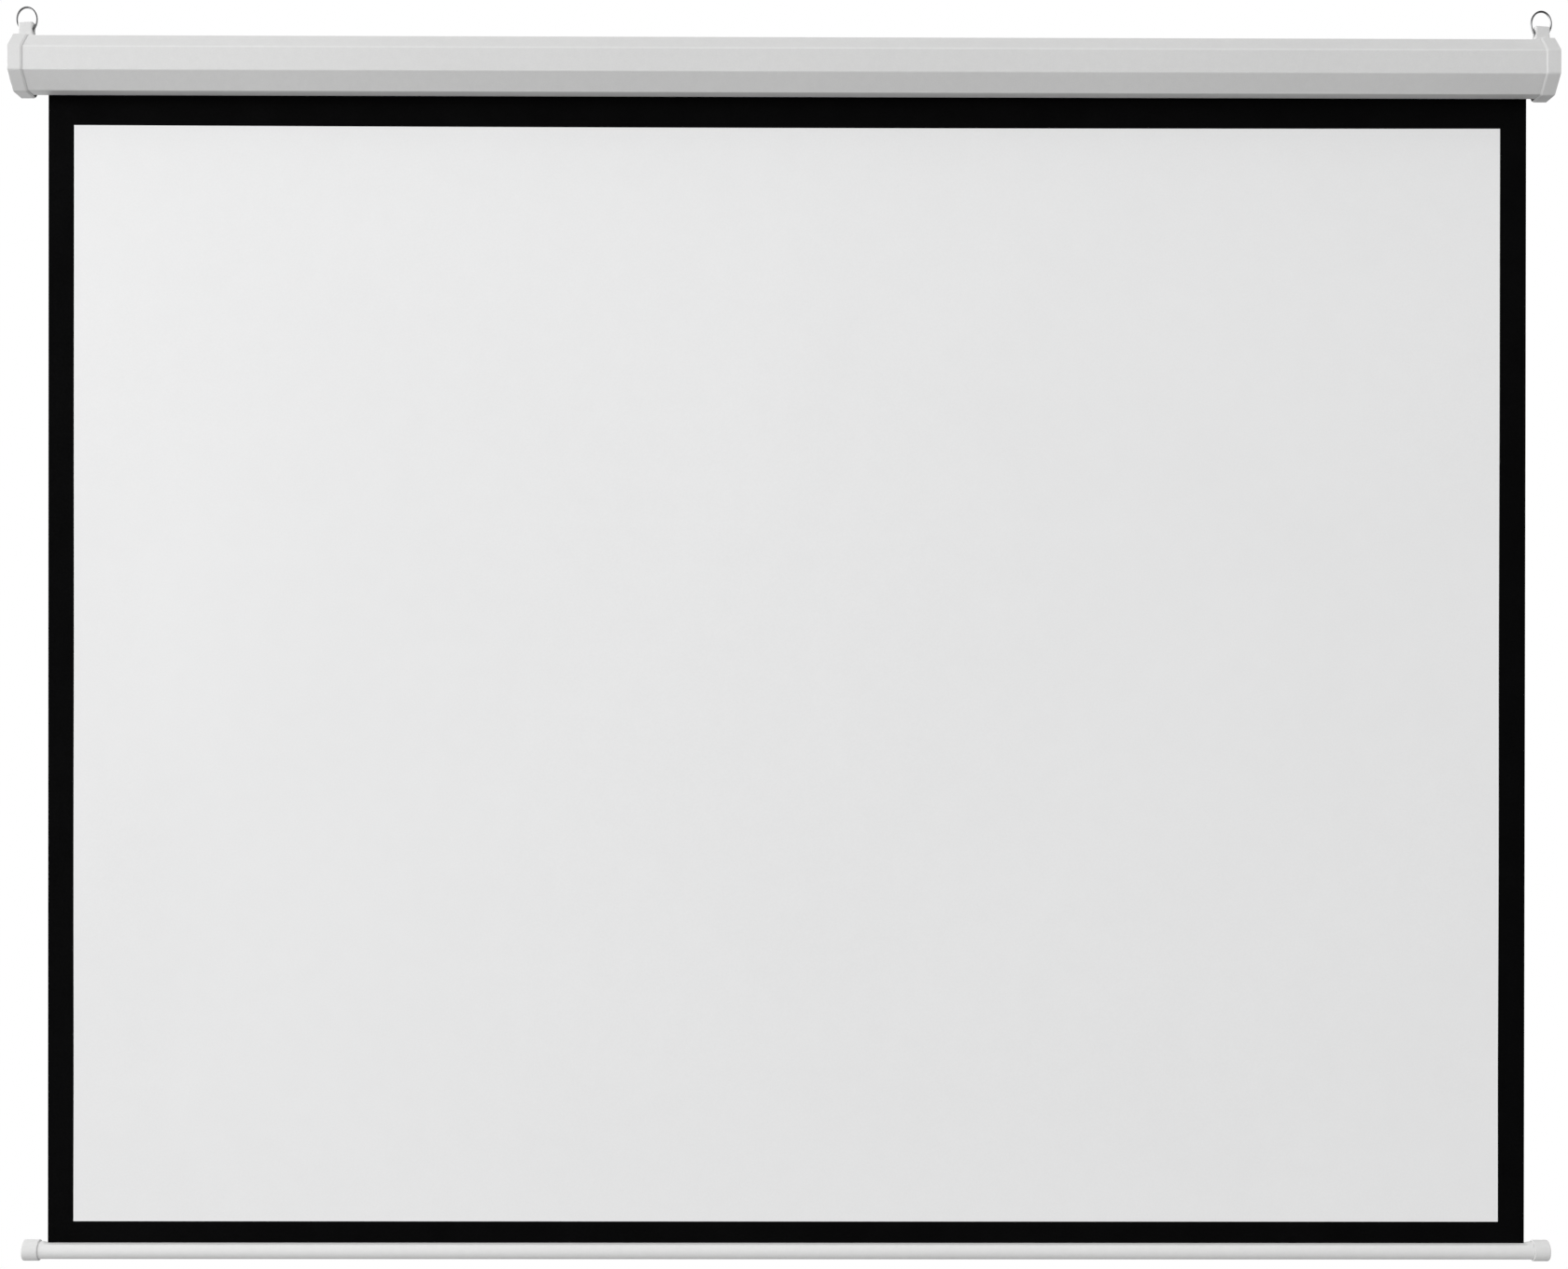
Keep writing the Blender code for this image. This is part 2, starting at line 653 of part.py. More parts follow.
def make_motor(roller_axis, limit_axes):
    body = turned([(-HEAD_X, 0), (-HEAD_X, HEAD_RADIUS - FIT), (-HEAD_X + 2 * FIT, HEAD_RADIUS),
                   (-MOTOR_X - FIT, HEAD_RADIUS), (-MOTOR_X - FIT, 0)])
    head = add("motor_head", body, BLACK_PLASTIC, roller_axis)
    tip = HEAD_X + STUB_REACH
    groove = tip - CLIP_FROM_TIP
    wide = rectangle((-STUB_HALF, -STUB_HALF), (STUB_HALF, STUB_HALF))
    narrow = rectangle((-STUB_NECK, -STUB_NECK), (STUB_NECK, STUB_NECK))
    back = groove - CLIP_SHEET - 2 * FIT
    join(head, stepped([(-(HEAD_X - FIT * 4), wide), (-back, wide), (-back, narrow),
                        (-groove, narrow), (-groove, wide), (-tip, wide)]))
    floor = HEAD_RADIUS - LIMIT_SCREW_LENGTH - 2 * FIT
    for guide in limit_axes.values():
        pocket = turned([(floor, 0), (floor, LIMIT_SCREW_RADIUS + FIT),
                         (HEAD_RADIUS + FIT, LIMIT_SCREW_RADIUS + FIT), (HEAD_RADIUS + FIT, 0)],
                        "Z", SMALL_ROUND)
        cut(head, pocket).parent = guide
    lead_hole = prism(circle(LEAD_RADIUS + FIT, SMALL_ROUND), HEAD_RADIUS - LEAD_SOCKET, HEAD_RADIUS + FIT,
                      "Y")
    cut(head, lead_hole).location = (-(HEAD_X + MOTOR_X) / 2, 0, 0)

    neck = MOTOR_X - 2 * FIT
    mouth = MOTOR_END + SHAFT_SOCKET
    bearing = SHAFT_RADIUS + FIT
    shoulder = MOTOR_END + NOSE_LENGTH
    profile = [(neck, 0), (neck, MOTOR_RADIUS)]
    for place in MOTOR_BEAD_PLACES:
        steps = ((0, 0), (1, MOTOR_BEAD), (3, MOTOR_BEAD), (4, 0))
        profile += [(neck - place - along * MOTOR_BEAD, MOTOR_RADIUS - depth) for along, depth in steps]
    profile += [(shoulder + NOSE_LENGTH, MOTOR_RADIUS), (shoulder, MOTOR_RADIUS - NOSE_LENGTH),
                (shoulder, NOSE_RADIUS), (MOTOR_END, NOSE_RADIUS),
                (MOTOR_END, bearing), (mouth, bearing), (mouth, 0)]
    add("motor_tube", turned([(-x, r) for x, r in profile]), ZINC_STEEL, roller_axis)

    slot = STUB_NECK + FIT
    arm = STUB_HALF + CLIP_ARM
    fork = [(-arm, -arm), (-slot, -arm), (-slot, slot), (slot, slot), (slot, -arm), (arm, -arm),
            (arm, arm), (-arm, arm)]
    tip_corner = CLIP_CORNER
    back_corner = 2 * CLIP_CORNER
    outline = rounded(fork, [tip_corner, tip_corner, 0, 0, tip_corner, tip_corner, back_corner, back_corner])
    add("motor_retainer", prism(outline, -(groove - FIT - CLIP_SHEET), -(groove - FIT)), ZINC_STEEL,
        roller_axis)


def make_limit_screws(limit_axes):
    looks = {"up": RED_PLASTIC, "down": YELLOW_PLASTIC}
    top = HEAD_RADIUS - FIT
    floor = top - LIMIT_SCREW_LENGTH + FIT
    for which, guide in limit_axes.items():
        profile = [(floor, 0), (floor, LIMIT_SCREW_RADIUS), (top - 2 * FIT, LIMIT_SCREW_RADIUS),
                   (top, LIMIT_SCREW_RADIUS - 2 * FIT), (top, 0)]
        screw = add(f"limit_screw_{which}", turned(profile, "Z", SMALL_ROUND), looks[which], guide)
        cut(screw, prism(circle(SOCKET_RADIUS, 6), top - LIMIT_SCREW_SOCKET, top + FIT, "Z"))


# The turning roller

def make_roller(roller_axis):
    tube = add("roller_tube", pipe(circle(ROLLER_RADIUS, TUBE_ROUND), circle(ROLLER_BORE, TUBE_ROUND),
                                   ROLLER_LEFT, ROLLER_RIGHT), ALUMINIUM, roller_axis)
    notch = CROWN_KEY_WIDTH / 2 + FIT
    under_wall = ROLLER_BORE - ROLLER_WALL
    over_wall = ROLLER_RADIUS + ROLLER_WALL
    cut(tube, block((ROLLER_LEFT - FIT, -notch, under_wall),
                    (ROLLER_LEFT + CROWN_KEY_LENGTH + FIT, notch, over_wall)))
    wheel_outer = MOTOR_END - WHEEL_FROM_MOTOR
    wheel_middle = -(wheel_outer - WHEEL_LENGTH / 2)
    hole = prism(circle(WHEEL_SCREW_HEAD + FIT, SMALL_ROUND), under_wall, over_wall, "Z")
    cut(tube, hole).location = (wheel_middle, 0, 0)

    sleeve = ROLLER_BORE - FIT
    bore = MOTOR_RADIUS + FIT
    flange_in = ROLLER_LEFT - FIT
    flange_out = flange_in - CROWN_FLANGE
    crown_profile = [(flange_out, bore), (flange_out, ROLLER_RADIUS), (flange_in, ROLLER_RADIUS),
                     (flange_in, sleeve), (flange_in + CROWN_SLEEVE, sleeve),
                     (flange_in + CROWN_SLEEVE, bore)]
    crown = add("motor_crown", turned(crown_profile), BLACK_PLASTIC, roller_axis)
    key = CROWN_KEY_WIDTH / 2
    join(crown, block((flange_in - CROWN_FLANGE / 2, -key, sleeve - JOIN_DEPTH),
                      (ROLLER_LEFT + CROWN_KEY_LENGTH - FIT, key, ROLLER_RADIUS - FIT)))

    hub = SHAFT_RADIUS + WHEEL_HUB_WALL
    rim = sleeve - WHEEL_RIM
    web_outer = wheel_outer - (WHEEL_LENGTH - WHEEL_WEB) / 2
    wheel_profile = [(wheel_outer, 0), (wheel_outer, sleeve), (wheel_outer - WHEEL_LENGTH, sleeve),
                     (wheel_outer - WHEEL_LENGTH, 0)]
    wheel = add("drive_wheel", turned([(-x, r) for x, r in wheel_profile]), BLACK_PLASTIC, roller_axis)
    for number in range(WHEEL_POCKETS):
        pocket = sector(hub, rim, 2 * math.pi * (number + 0.5) / WHEEL_POCKETS,
                        2 * math.pi / WHEEL_POCKETS - WHEEL_SPOKE_ANGLE)
        for near, deep in ((wheel_outer + FIT, web_outer),
                           (web_outer - WHEEL_WEB, wheel_outer - WHEEL_LENGTH - FIT)):
            cut(wheel, prism(pocket, -near, -deep))
    cut(wheel, prism(double_flat(SHAFT_RADIUS + FIT, SHAFT_FLAT + FIT), -wheel_outer - FIT,
                     -wheel_outer + WHEEL_LENGTH + FIT))
    screw_tip = rim - WHEEL_SCREW_REACH
    pilot = prism(circle(SMALL_SCREW_RADIUS + FIT, SMALL_ROUND), screw_tip - FIT, ROLLER_RADIUS, "Z")
    cut(wheel, pilot).location = (wheel_middle, 0, 0)

    top = ROLLER_RADIUS - FIT
    under = ROLLER_BORE + FIT / 2
    fixing = turned([(screw_tip, 0), (screw_tip, SMALL_SCREW_RADIUS), (under, SMALL_SCREW_RADIUS),
                     (under, WHEEL_SCREW_HEAD), (top, WHEEL_SCREW_HEAD), (top, 0)], "Z", SMALL_ROUND)
    add("drive_wheel_screw", fixing, ZINC_STEEL, roller_axis).location = (wheel_middle, 0, 0)
    make_drive_shaft(roller_axis, wheel_outer)


def sector(inner, outer, middle, spread):
    """A pocket between two radii, with its corners on the arcs."""
    steps = 5
    angles = [middle + spread * (i / steps - 0.5) for i in range(steps + 1)]
    arc = [Vector((outer * math.cos(a), outer * math.sin(a))) for a in angles]
    shrink = 0.55
    back = [Vector((inner * math.cos(a), inner * math.sin(a)))
            for a in (middle + spread * shrink * (0.5 - i / steps) for i in range(steps + 1))]
    return arc + back


def double_flat(radius, flat):
    """A round shaft with two flats, top and bottom."""
    return [Vector((u, max(-flat, min(flat, v)))) for u, v in circle(radius, SMALL_ROUND)]


def make_drive_shaft(roller_axis, wheel_outer):
    inner = MOTOR_END + SHAFT_SOCKET - 2 * FIT
    shoulder = MOTOR_END - 2 * FIT
    tip = MOTOR_END - SHAFT_REACH
    groove = wheel_outer - WHEEL_LENGTH - FIT
    groove_end = groove - SNAP_RING_SHEET - FIT
    groove_radius = SHAFT_FLAT - SHAFT_GROOVE
    round_bar = circle(SHAFT_RADIUS, SMALL_ROUND)
    flats = double_flat(SHAFT_RADIUS, SHAFT_FLAT)
    neck = circle(groove_radius, SMALL_ROUND)
    stations = [(inner, round_bar), (shoulder, round_bar), (shoulder, flats), (groove, flats),
                (groove, neck), (groove_end, neck), (groove_end, flats), (tip, flats)]
    add("drive_shaft", stepped([(-x, outline) for x, outline in stations]), ZINC_STEEL, roller_axis)
    ring = open_ring(groove_radius + FIT, SHAFT_RADIUS + SNAP_RING_REACH)
    add("drive_shaft_clip", prism(ring, -(groove - FIT / 2), -(groove_end + FIT / 2)), ZINC_STEEL,
        roller_axis)


def open_ring(inner, outer):
    """A snap ring's outline, open over a gap that the groove can enter."""
    gap = math.radians(70)
    steps = 20
    angles = [gap / 2 + (2 * math.pi - gap) * i / steps for i in range(steps + 1)]
    around = [Vector((outer * math.cos(a), outer * math.sin(a))) for a in angles]
    inside = [Vector((inner * math.cos(a), inner * math.sin(a))) for a in reversed(angles)]
    return around + inside


def make_idler(roller_axis):
    flange_in = ROLLER_RIGHT + FIT
    flange_out = flange_in + CROWN_FLANGE
    sleeve = ROLLER_BORE - FIT
    inner_end = ROLLER_RIGHT - IDLER_PLUG_LENGTH
    hollow = sleeve - IDLER_PLUG_WALL
    bore = IDLER_PIN_RADIUS + FIT
    bush_inner = BRACKET_FACE - FIT - BUSH_FLANGE
    hub_end = bush_inner - FIT * 2
    profile = [(inner_end, sleeve), (flange_in, sleeve), (flange_in, ROLLER_RADIUS),
               (flange_out, ROLLER_RADIUS), (flange_out, IDLER_HUB_RADIUS), (hub_end, IDLER_HUB_RADIUS),
               (hub_end, bore), (inner_end, bore), (inner_end, IDLER_HUB_RADIUS),
               (flange_in - IDLER_WEB, IDLER_HUB_RADIUS), (flange_in - IDLER_WEB, hollow),
               (inner_end, hollow)]
    add("idler_plug", turned(profile), BLACK_PLASTIC, roller_axis)

    tip = PLATE_X - PIN_END_GAP
    groove = tip - PIN_GROOVE_FROM_TIP
    groove_start = groove - SNAP_RING_SHEET - 2 * FIT
    neck = IDLER_PIN_RADIUS - PIN_GROOVE
    pin_profile = [(inner_end, 0), (inner_end, IDLER_PIN_RADIUS), (groove_start, IDLER_PIN_RADIUS),
                   (groove_start, neck), (groove, neck), (groove, IDLER_PIN_RADIUS),
                   (tip, IDLER_PIN_RADIUS), (tip, 0)]
    add("idler_pin", turned(pin_profile, count=SMALL_ROUND), ZINC_STEEL, roller_axis)
    ring = open_ring(neck + FIT, IDLER_PIN_RADIUS + SNAP_RING_REACH)
    add("idler_pin_clip", prism(ring, groove_start + FIT, groove - FIT), ZINC_STEEL, roller_axis)

    bush_outer = BRACKET_FACE + BRACKET_SHEET + BUSH_STAND
    bush_profile = [(bush_inner, bore), (bush_inner, BUSH_FLANGE_RADIUS),
                    (bush_inner + BUSH_FLANGE, BUSH_FLANGE_RADIUS),
                    (bush_inner + BUSH_FLANGE, BUSH_RADIUS), (bush_outer, BUSH_RADIUS), (bush_outer, bore)]
    add("idler_bush", turned(bush_profile), NATURAL_NYLON, roller_axis)


def make_leader(roller_axis):
    """The turns of black leader that stay on the roller, as one spiral sheet."""
    steps_per_turn = 36
    steps = round(steps_per_turn * LEADER_TURNS)
    path = []
    for step in range(steps + 1):
        turn = LEADER_TURNS * step / steps
        radius = LEADER_START + LEADER_PITCH * turn
        angle = 2 * math.pi * (LEADER_TURNS - turn)
        path.append(Vector((radius * math.cos(angle), radius * math.sin(angle))))
    outline = sheet_section(path, FABRIC_THICKNESS)
    add("wound_leader", prism(outline, -FABRIC_WIDTH / 2, FABRIC_WIDTH / 2), BLACK_FABRIC,
        roller_axis).location.x = FABRIC_X


# The fabric and its weight bar

def make_screen():
    line = empty("fabric_line", (FABRIC_X, FABRIC_Y, 0))
    half = FABRIC_THICKNESS / 2
    add("screen_fabric", block((-FABRIC_WIDTH / 2, -half, -FABRIC_DROP), (FABRIC_WIDTH / 2, half, -FIT)),
        WHITE_FABRIC, line)


def flat_line():
    """The height over the bar's axis, at the middle, and the fall outwards of the flats by its slot."""
    slot = BAR_SLOT / 2
    edge = BAR_RADIUS * math.sin(BAR_FLAT_ANGLE)
    top = BAR_RADIUS - BAR_FLAT_DROP
    fall = (top - BAR_RADIUS * math.cos(BAR_FLAT_ANGLE)) / (edge - slot)
    return top + fall * slot, fall


def bar_outline(press):
    """The bar's slotted tube, whose top is pressed into two flats with a groove along their far edges.

    The press goes from 0, where the tube is round, to 1.
    """
    top, fall = flat_line()
    groove = BAR_FLAT_ANGLE + BAR_GROOVE_ANGLE
    shoulder = groove + BAR_GROOVE_ANGLE
    flat_steps = 5
    round_steps = 24
    slot = math.asin(BAR_SLOT / 2 / BAR_RADIUS)
    pressed = [slot + (BAR_FLAT_ANGLE - slot) * i / flat_steps for i in range(flat_steps + 1)]
    half = [(a, press * (BAR_RADIUS - top / (math.cos(a) + fall * math.sin(a)))) for a in pressed]
    half.append((groove, press * BAR_GROOVE_DEPTH))
    around = [shoulder + (2 * math.pi - 2 * shoulder) * i / round_steps for i in range(round_steps + 1)]
    profile = half + [(a, 0) for a in around] + [(2 * math.pi - a, depth) for a, depth in reversed(half)]
    outer = [bar_point(BAR_RADIUS - depth, a) for a, depth in profile]
    inner = [bar_point(BAR_BORE - depth, a) for a, depth in reversed(profile)]
    return outer + inner


def bar_point(radius, angle):
    """A point round the bar's axis; the angle is measured from its top towards its front."""
    return Vector((-radius * math.sin(angle), radius * math.cos(angle)))


def bar_stations():
    """Places along the bar and how far it is pressed there: only as far as the fabric goes."""
    steps = 4
    edge = FABRIC_WIDTH / 2
    end = [(BAR_END, 0.0)]
    for i in range(steps + 1):
        along = i / steps
        end.append((edge + BAR_RUNOUT * (1 - along), along * along * (3 - 2 * along)))
    return [(-x, press) for x, press in end] + end[::-1]


def border_outline(rod_height):
    """The lower black border, hemmed round its rod."""
    radius = HEM_ROD_RADIUS + FIT + FABRIC_THICKNESS / 2
    start = math.radians(30)
    end = math.radians(345)
    steps = 18
    loop = []
    for step in range(steps + 1):
        angle = start + (end - start) * step / steps
        loop.append(Vector((radius * math.sin(angle), rod_height + radius * math.cos(angle))))
    seam = rod_height + 1.2 * radius
    return sheet_section([Vector((0, BORDER_DROP - FIT)), Vector((0, seam))] + loop, FABRIC_THICKNESS)


def make_bar(bar_line):
    sections = [[(x, y, z) for y, z in bar_outline(press)] for x, press in bar_stations()]
    add("weight_bar", loft(sections), WHITE_STEEL, bar_line)
    top, fall = flat_line()
    hem = HEM_ROD_RADIUS + FABRIC_THICKNESS + 3 * FIT
    rod_height = top - BAR_WALL - hem * math.hypot(1, fall)
    rod = FABRIC_WIDTH / 2
    add("hem_rod", turned([(-rod, 0), (-rod, HEM_ROD_RADIUS), (rod, HEM_ROD_RADIUS), (rod, 0)],
                          count=SMALL_ROUND), ZINC_STEEL, bar_line).location.z = rod_height
    add("lower_border", prism(border_outline(rod_height), -rod, rod), BLACK_FABRIC, bar_line)
    for name, side in (("left_bar_cap", -1), ("right_bar_cap", 1)):
        make_bar_cap(name, side, bar_line)


def make_bar_cap(name, side, bar_line):
    """A round cap: a cup over the bar's end and a hollow plug in its bore."""
    plug = BAR_BORE - FIT
    face = BAR_END + FIT
    end = face + BAR_CAP_END
    mouth = end - BAR_CAP_LENGTH
    profile = [(end, 0)]
    for step in range(BEND_STEPS + 1):
        angle = math.pi / 2 * step / BEND_STEPS
        profile.append((end - BAR_CAP_ROUND * (1 - math.cos(angle)),
                        BAR_CAP_RADIUS - BAR_CAP_ROUND * (1 - math.sin(angle))))
    profile += [(mouth + BAR_CAP_EDGE, BAR_CAP_RADIUS), (mouth, BAR_CAP_RADIUS - BAR_CAP_EDGE),
                (mouth, BAR_CAP_CUP),
                (face, BAR_CAP_CUP), (face, plug), (face - BAR_CAP_PLUG, plug),
                (face - BAR_CAP_PLUG, plug - BAR_CAP_PLUG_WALL), (face, plug - BAR_CAP_PLUG_WALL), (face, 0)]
    add(name, turned([(side * x, r) for x, r in profile]), WHITE_PLASTIC, bar_line)


# Hanging rings

def make_ring(name, side, centre):
    hinge = empty(f"{name}_hinge", (side * LUG_X, 0, BORE_Z), centre)
    wire = RING_WIRE / 2
    wide = RING_WIDTH / 2 - wire
    tall = RING_HEIGHT / 2 - wire
    middle = tall - RING_SAG
    sections = []
    for step in range(RING_STEPS):
        angle = 2 * math.pi * step / RING_STEPS
        centre_point = Vector((wide * math.cos(angle), 0, middle + tall * math.sin(angle)))
        outward = Vector((tall * math.cos(angle), 0, wide * math.sin(angle))).normalized()
        sections.append([centre_point + outward * u + Vector((0, v, 0)) for u, v in circle(wire, WIRE_ROUND)])
    add(name, loft(sections, closed=True), CHROME, hinge)


# The receiver that switches the motor

def receiver_hole(low, high):
    """The clearance hole for the receiver's fixing screw, across the back of the case."""
    shape = prism(circle(SMALL_SCREW_RADIUS + FIT, SMALL_ROUND), low, high, "Y")
    bmesh.ops.translate(shape, vec=(receiver_screw_x(), 0, 0), verts=shape.verts)
    return shape


def receiver_screw_x():
    return -(CASE_END - BOX_FROM_CASE_END - BOX_LENGTH - EAR_LENGTH / 2)


def make_receiver(centre, roller_axis):
    back = CASE_FLATS / 2 - CASE_WALL - FIT
    front = back - BOX_DEPTH
    left = -(CASE_END - BOX_FROM_CASE_END)
    right = left + BOX_LENGTH
    half = BOX_HEIGHT / 2
    wall = BOX_WALL
    floor = back - wall
    box = add("receiver_box", block((left, front + wall + FIT, -half), (right, back, half)), GREY_PLASTIC,
              centre)
    cut(box, block((left + wall, front, -half + wall), (right - wall, floor, half - wall)))
    join(box, block((right - wall / 2, back - EAR_THICKNESS, -half / 2),
                    (right + EAR_LENGTH, back, half / 2)))
    cut(box, receiver_hole(back - 2 * EAR_THICKNESS, back + FIT))
    lead_y = (front + back) / 2
    entry = prism(circle(LEAD_RADIUS + FIT, SMALL_ROUND), left - FIT, left + 2 * wall)
    bmesh.ops.translate(entry, vec=(0, lead_y, LEAD_HEIGHT), verts=entry.verts)
    cut(box, entry)
    side = POST_SIDE / 2
    for x in (left + POST_FROM_END, right - POST_FROM_END):
        for z in (-POST_FROM_MIDDLE, POST_FROM_MIDDLE):
            join(box, block((x - side, floor - POST_HEIGHT, z - side), (x + side, back - wall / 2, z + side)))

    lid = add("receiver_lid", block((left, front, -half), (right, front + wall, half)), GREY_PLASTIC, centre)
    inset = wall + FIT
    inner = inset + LID_RIM
    join(lid, pipe(rectangle((left + inset, -half + inset), (right - inset, half - inset)),
                   rectangle((left + inner, -half + inner), (right - inner, half - inner)),
                   front + wall / 2, front + wall + LID_RIM_DEPTH, "Y"))

    board_back = floor - POST_HEIGHT - FIT
    board_front = board_back - BOARD_THICKNESS
    gap = wall + BOARD_GAP
    board = add("receiver_board", block((left + gap + LEAD_TAIL, board_front, -half + gap),
                                        (right - gap, board_back, half - gap)), GREEN_BOARD, centre)
    for start, length, low, high, rise in BOARD_PARTS.values():
        join(board, block((left + start, board_front - rise, low),
                          (left + start + length, board_front + BOARD_THICKNESS / 2, high)))

    screw = add("receiver_screw", pan_head(back - EAR_THICKNESS - FIT, CASE_FLATS / 2 - FIT, "Y"), ZINC_STEEL,
                centre)
    screw.location.x = receiver_screw_x()
    make_lead(roller_axis, left, lead_y + CASE_Y - ROLLER_Y)


def make_lead(roller_axis, box_x, box_y):
    """The motor's lead, from the side of its head round one easy bend into the receiver box."""
    exit_x = -(HEAD_X + MOTOR_X) / 2
    start = Vector((exit_x, HEAD_RADIUS - LEAD_SOCKET + 3 * FIT, 0))
    turn = Vector((exit_x + LEAD_BEND, box_y - LEAD_BEND, 0))
    points = [start]
    steps = 14
    for step in range(steps + 1):
        angle = math.pi / 2 * step / steps
        rise = LEAD_HEIGHT * (step / steps) ** 2 * (3 - 2 * step / steps)
        arm = Vector((-math.cos(angle), math.sin(angle), 0)) * LEAD_BEND
        points.append(turn + arm + Vector((0, 0, rise)))
    points.append(Vector((box_x + BOX_WALL + LEAD_TAIL, box_y, LEAD_HEIGHT)))
    curve = bpy.data.curves.new("motor_lead", "CURVE")
    curve.dimensions = "3D"
    curve.bevel_depth = LEAD_RADIUS
    curve.bevel_resolution = 2
    curve.use_fill_caps = True
    spline = curve.splines.new("POLY")
    spline.points.add(len(points) - 1)
    for knot, point in zip(spline.points, points):
        knot.co = (*point, 1.0)
    lead = bpy.data.objects.new("motor_lead", curve)
    bpy.context.scene.collection.objects.link(lead)
    lead.parent = roller_axis
    give_material(lead, BLACK_PLASTIC)


def make_grommet(cap, centre):
    """The snap bush over the bracket in the left cap's plate, flush with its face, for the mains cord."""
    height = (BRACKET_HEIGHT + SPIGOT_BORE) / 4
    flange = GROMMET_FLANGE_DEPTH
    outer = END_X - FIT
    inner = PLATE_X - FIT
    seat = outer - flange - FIT
    hole = [(END_X + FIT, 0), (END_X + FIT, GROMMET_FLANGE + FIT), (seat, GROMMET_FLANGE + FIT),
            (seat, GROMMET_NECK + FIT), (inner, GROMMET_NECK + FIT), (inner, 0)]
    cut(cap, turned([(-x, r) for x, r in hole])).location.z = height
    snap_end = inner - GROMMET_SNAP_LENGTH
    ring = [(outer, GROMMET_BORE), (outer, GROMMET_FLANGE), (outer - flange, GROMMET_FLANGE),
            (outer - flange, GROMMET_NECK), (inner, GROMMET_NECK), (inner, GROMMET_NECK + GROMMET_SNAP),
            (snap_end, GROMMET_NECK - GROMMET_TAPER), (snap_end, GROMMET_BORE)]
    add("cable_grommet", turned([(-x, r) for x, r in ring]), BLACK_PLASTIC, centre).location.z = height


def main():
    for thing in list(bpy.data.objects):
        bpy.data.objects.remove(thing, do_unlink=True)
    centre = empty("case_centre", (0, CASE_Y, 0))
    roller_axis = empty("roller_axis", (0, ROLLER_Y, 0))
    bar_line = empty("bar_line", (FABRIC_X, FABRIC_Y, BAR_Z))

    make_case(centre)
    left_cap = make_cap("left_end_cap", -1, centre)
    make_cap("right_end_cap", 1, centre)
    make_grommet(left_cap, centre)
    for label, side in (("left", -1), ("right", 1)):
        make_cap_screw(f"{label}_cap_screw", side, centre)
        make_bracket_screws(label, side, centre)
        make_ring(f"{label}_hanging_ring", side, centre)

    motor_bracket = make_bracket("motor_bracket", -1, centre)
    hole = STUB_HALF + FIT
    cut(motor_bracket, block((-PLATE_X, -hole, -hole), (-BRACKET_FACE + FIT, hole, hole)))
    idler_bracket = make_bracket("idler_bracket", 1, centre)
    cut(idler_bracket, prism(circle(BUSH_RADIUS + FIT), BRACKET_FACE - FIT, PLATE_X))

    limit_axes = limit_screw_frames(roller_axis)
    make_motor(roller_axis, limit_axes)
    make_limit_screws(limit_axes)
    make_roller(roller_axis)
    make_idler(roller_axis)
    make_leader(roller_axis)
    make_screen()
    make_bar(bar_line)
    make_receiver(centre, roller_axis)


main()
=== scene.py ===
import json
import math

import bmesh
import bpy
from mathutils import Matrix, Vector


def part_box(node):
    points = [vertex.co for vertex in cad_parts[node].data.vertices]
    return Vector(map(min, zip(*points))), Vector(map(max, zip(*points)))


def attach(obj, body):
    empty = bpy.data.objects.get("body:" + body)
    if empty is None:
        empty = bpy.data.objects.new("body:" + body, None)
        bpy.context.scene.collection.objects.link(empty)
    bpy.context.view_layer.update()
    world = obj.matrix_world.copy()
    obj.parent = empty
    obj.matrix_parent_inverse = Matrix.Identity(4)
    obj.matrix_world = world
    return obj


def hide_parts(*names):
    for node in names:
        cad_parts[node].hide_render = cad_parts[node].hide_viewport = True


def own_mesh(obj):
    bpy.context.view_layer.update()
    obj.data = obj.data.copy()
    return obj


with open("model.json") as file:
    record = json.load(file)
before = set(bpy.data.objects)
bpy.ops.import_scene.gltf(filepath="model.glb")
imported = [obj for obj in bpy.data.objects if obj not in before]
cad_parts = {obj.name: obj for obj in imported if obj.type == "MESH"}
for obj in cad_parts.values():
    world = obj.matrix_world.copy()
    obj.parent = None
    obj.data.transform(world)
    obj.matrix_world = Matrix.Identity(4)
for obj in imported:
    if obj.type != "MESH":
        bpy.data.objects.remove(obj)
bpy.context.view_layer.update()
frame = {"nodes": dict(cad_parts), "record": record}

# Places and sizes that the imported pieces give, in metres
CASE_LOW, CASE_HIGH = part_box("case_housing")
CASE_Y = (CASE_LOW.y + CASE_HIGH.y) / 2
CASE_FOLD = (CASE_HIGH.y - CASE_LOW.y) / 2 * math.tan(math.radians(22.5))
ROLLER_LOW, ROLLER_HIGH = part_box("roller_tube")
ROLLER_Y = (ROLLER_LOW.y + ROLLER_HIGH.y) / 2
FABRIC_LOW, FABRIC_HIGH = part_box("screen_fabric")
FABRIC_X = (FABRIC_LOW.x + FABRIC_HIGH.x) / 2
FABRIC_Y = (FABRIC_LOW.y + FABRIC_HIGH.y) / 2
FABRIC_WIDTH = FABRIC_HIGH.x - FABRIC_LOW.x
FABRIC_DROP = FABRIC_HIGH.z - FABRIC_LOW.z
BAR_LOW, BAR_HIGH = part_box("weight_bar")
BOARD_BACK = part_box("receiver_board")[1].y

# Sizes that part.py gives its pieces
FIT = 0.0003
FABRIC_THICKNESS = 0.0004
BAR_RADIUS = 0.0125
BAR_WALL = 0.0015
BAR_SLOT = 0.0024
BAR_FLAT_DROP = 0.0018
BAR_FLAT_ANGLE = math.radians(40)
BAR_GROOVE_DEPTH = 0.0005
BAR_GROOVE_ANGLE = math.radians(2.5)
BAR_RUNOUT = 0.007
HEM_ROD_RADIUS = 0.003
ROLLER_RADIUS = 0.0205
LEADER_TURNS = 1.5
BOARD_THICKNESS = 0.0016

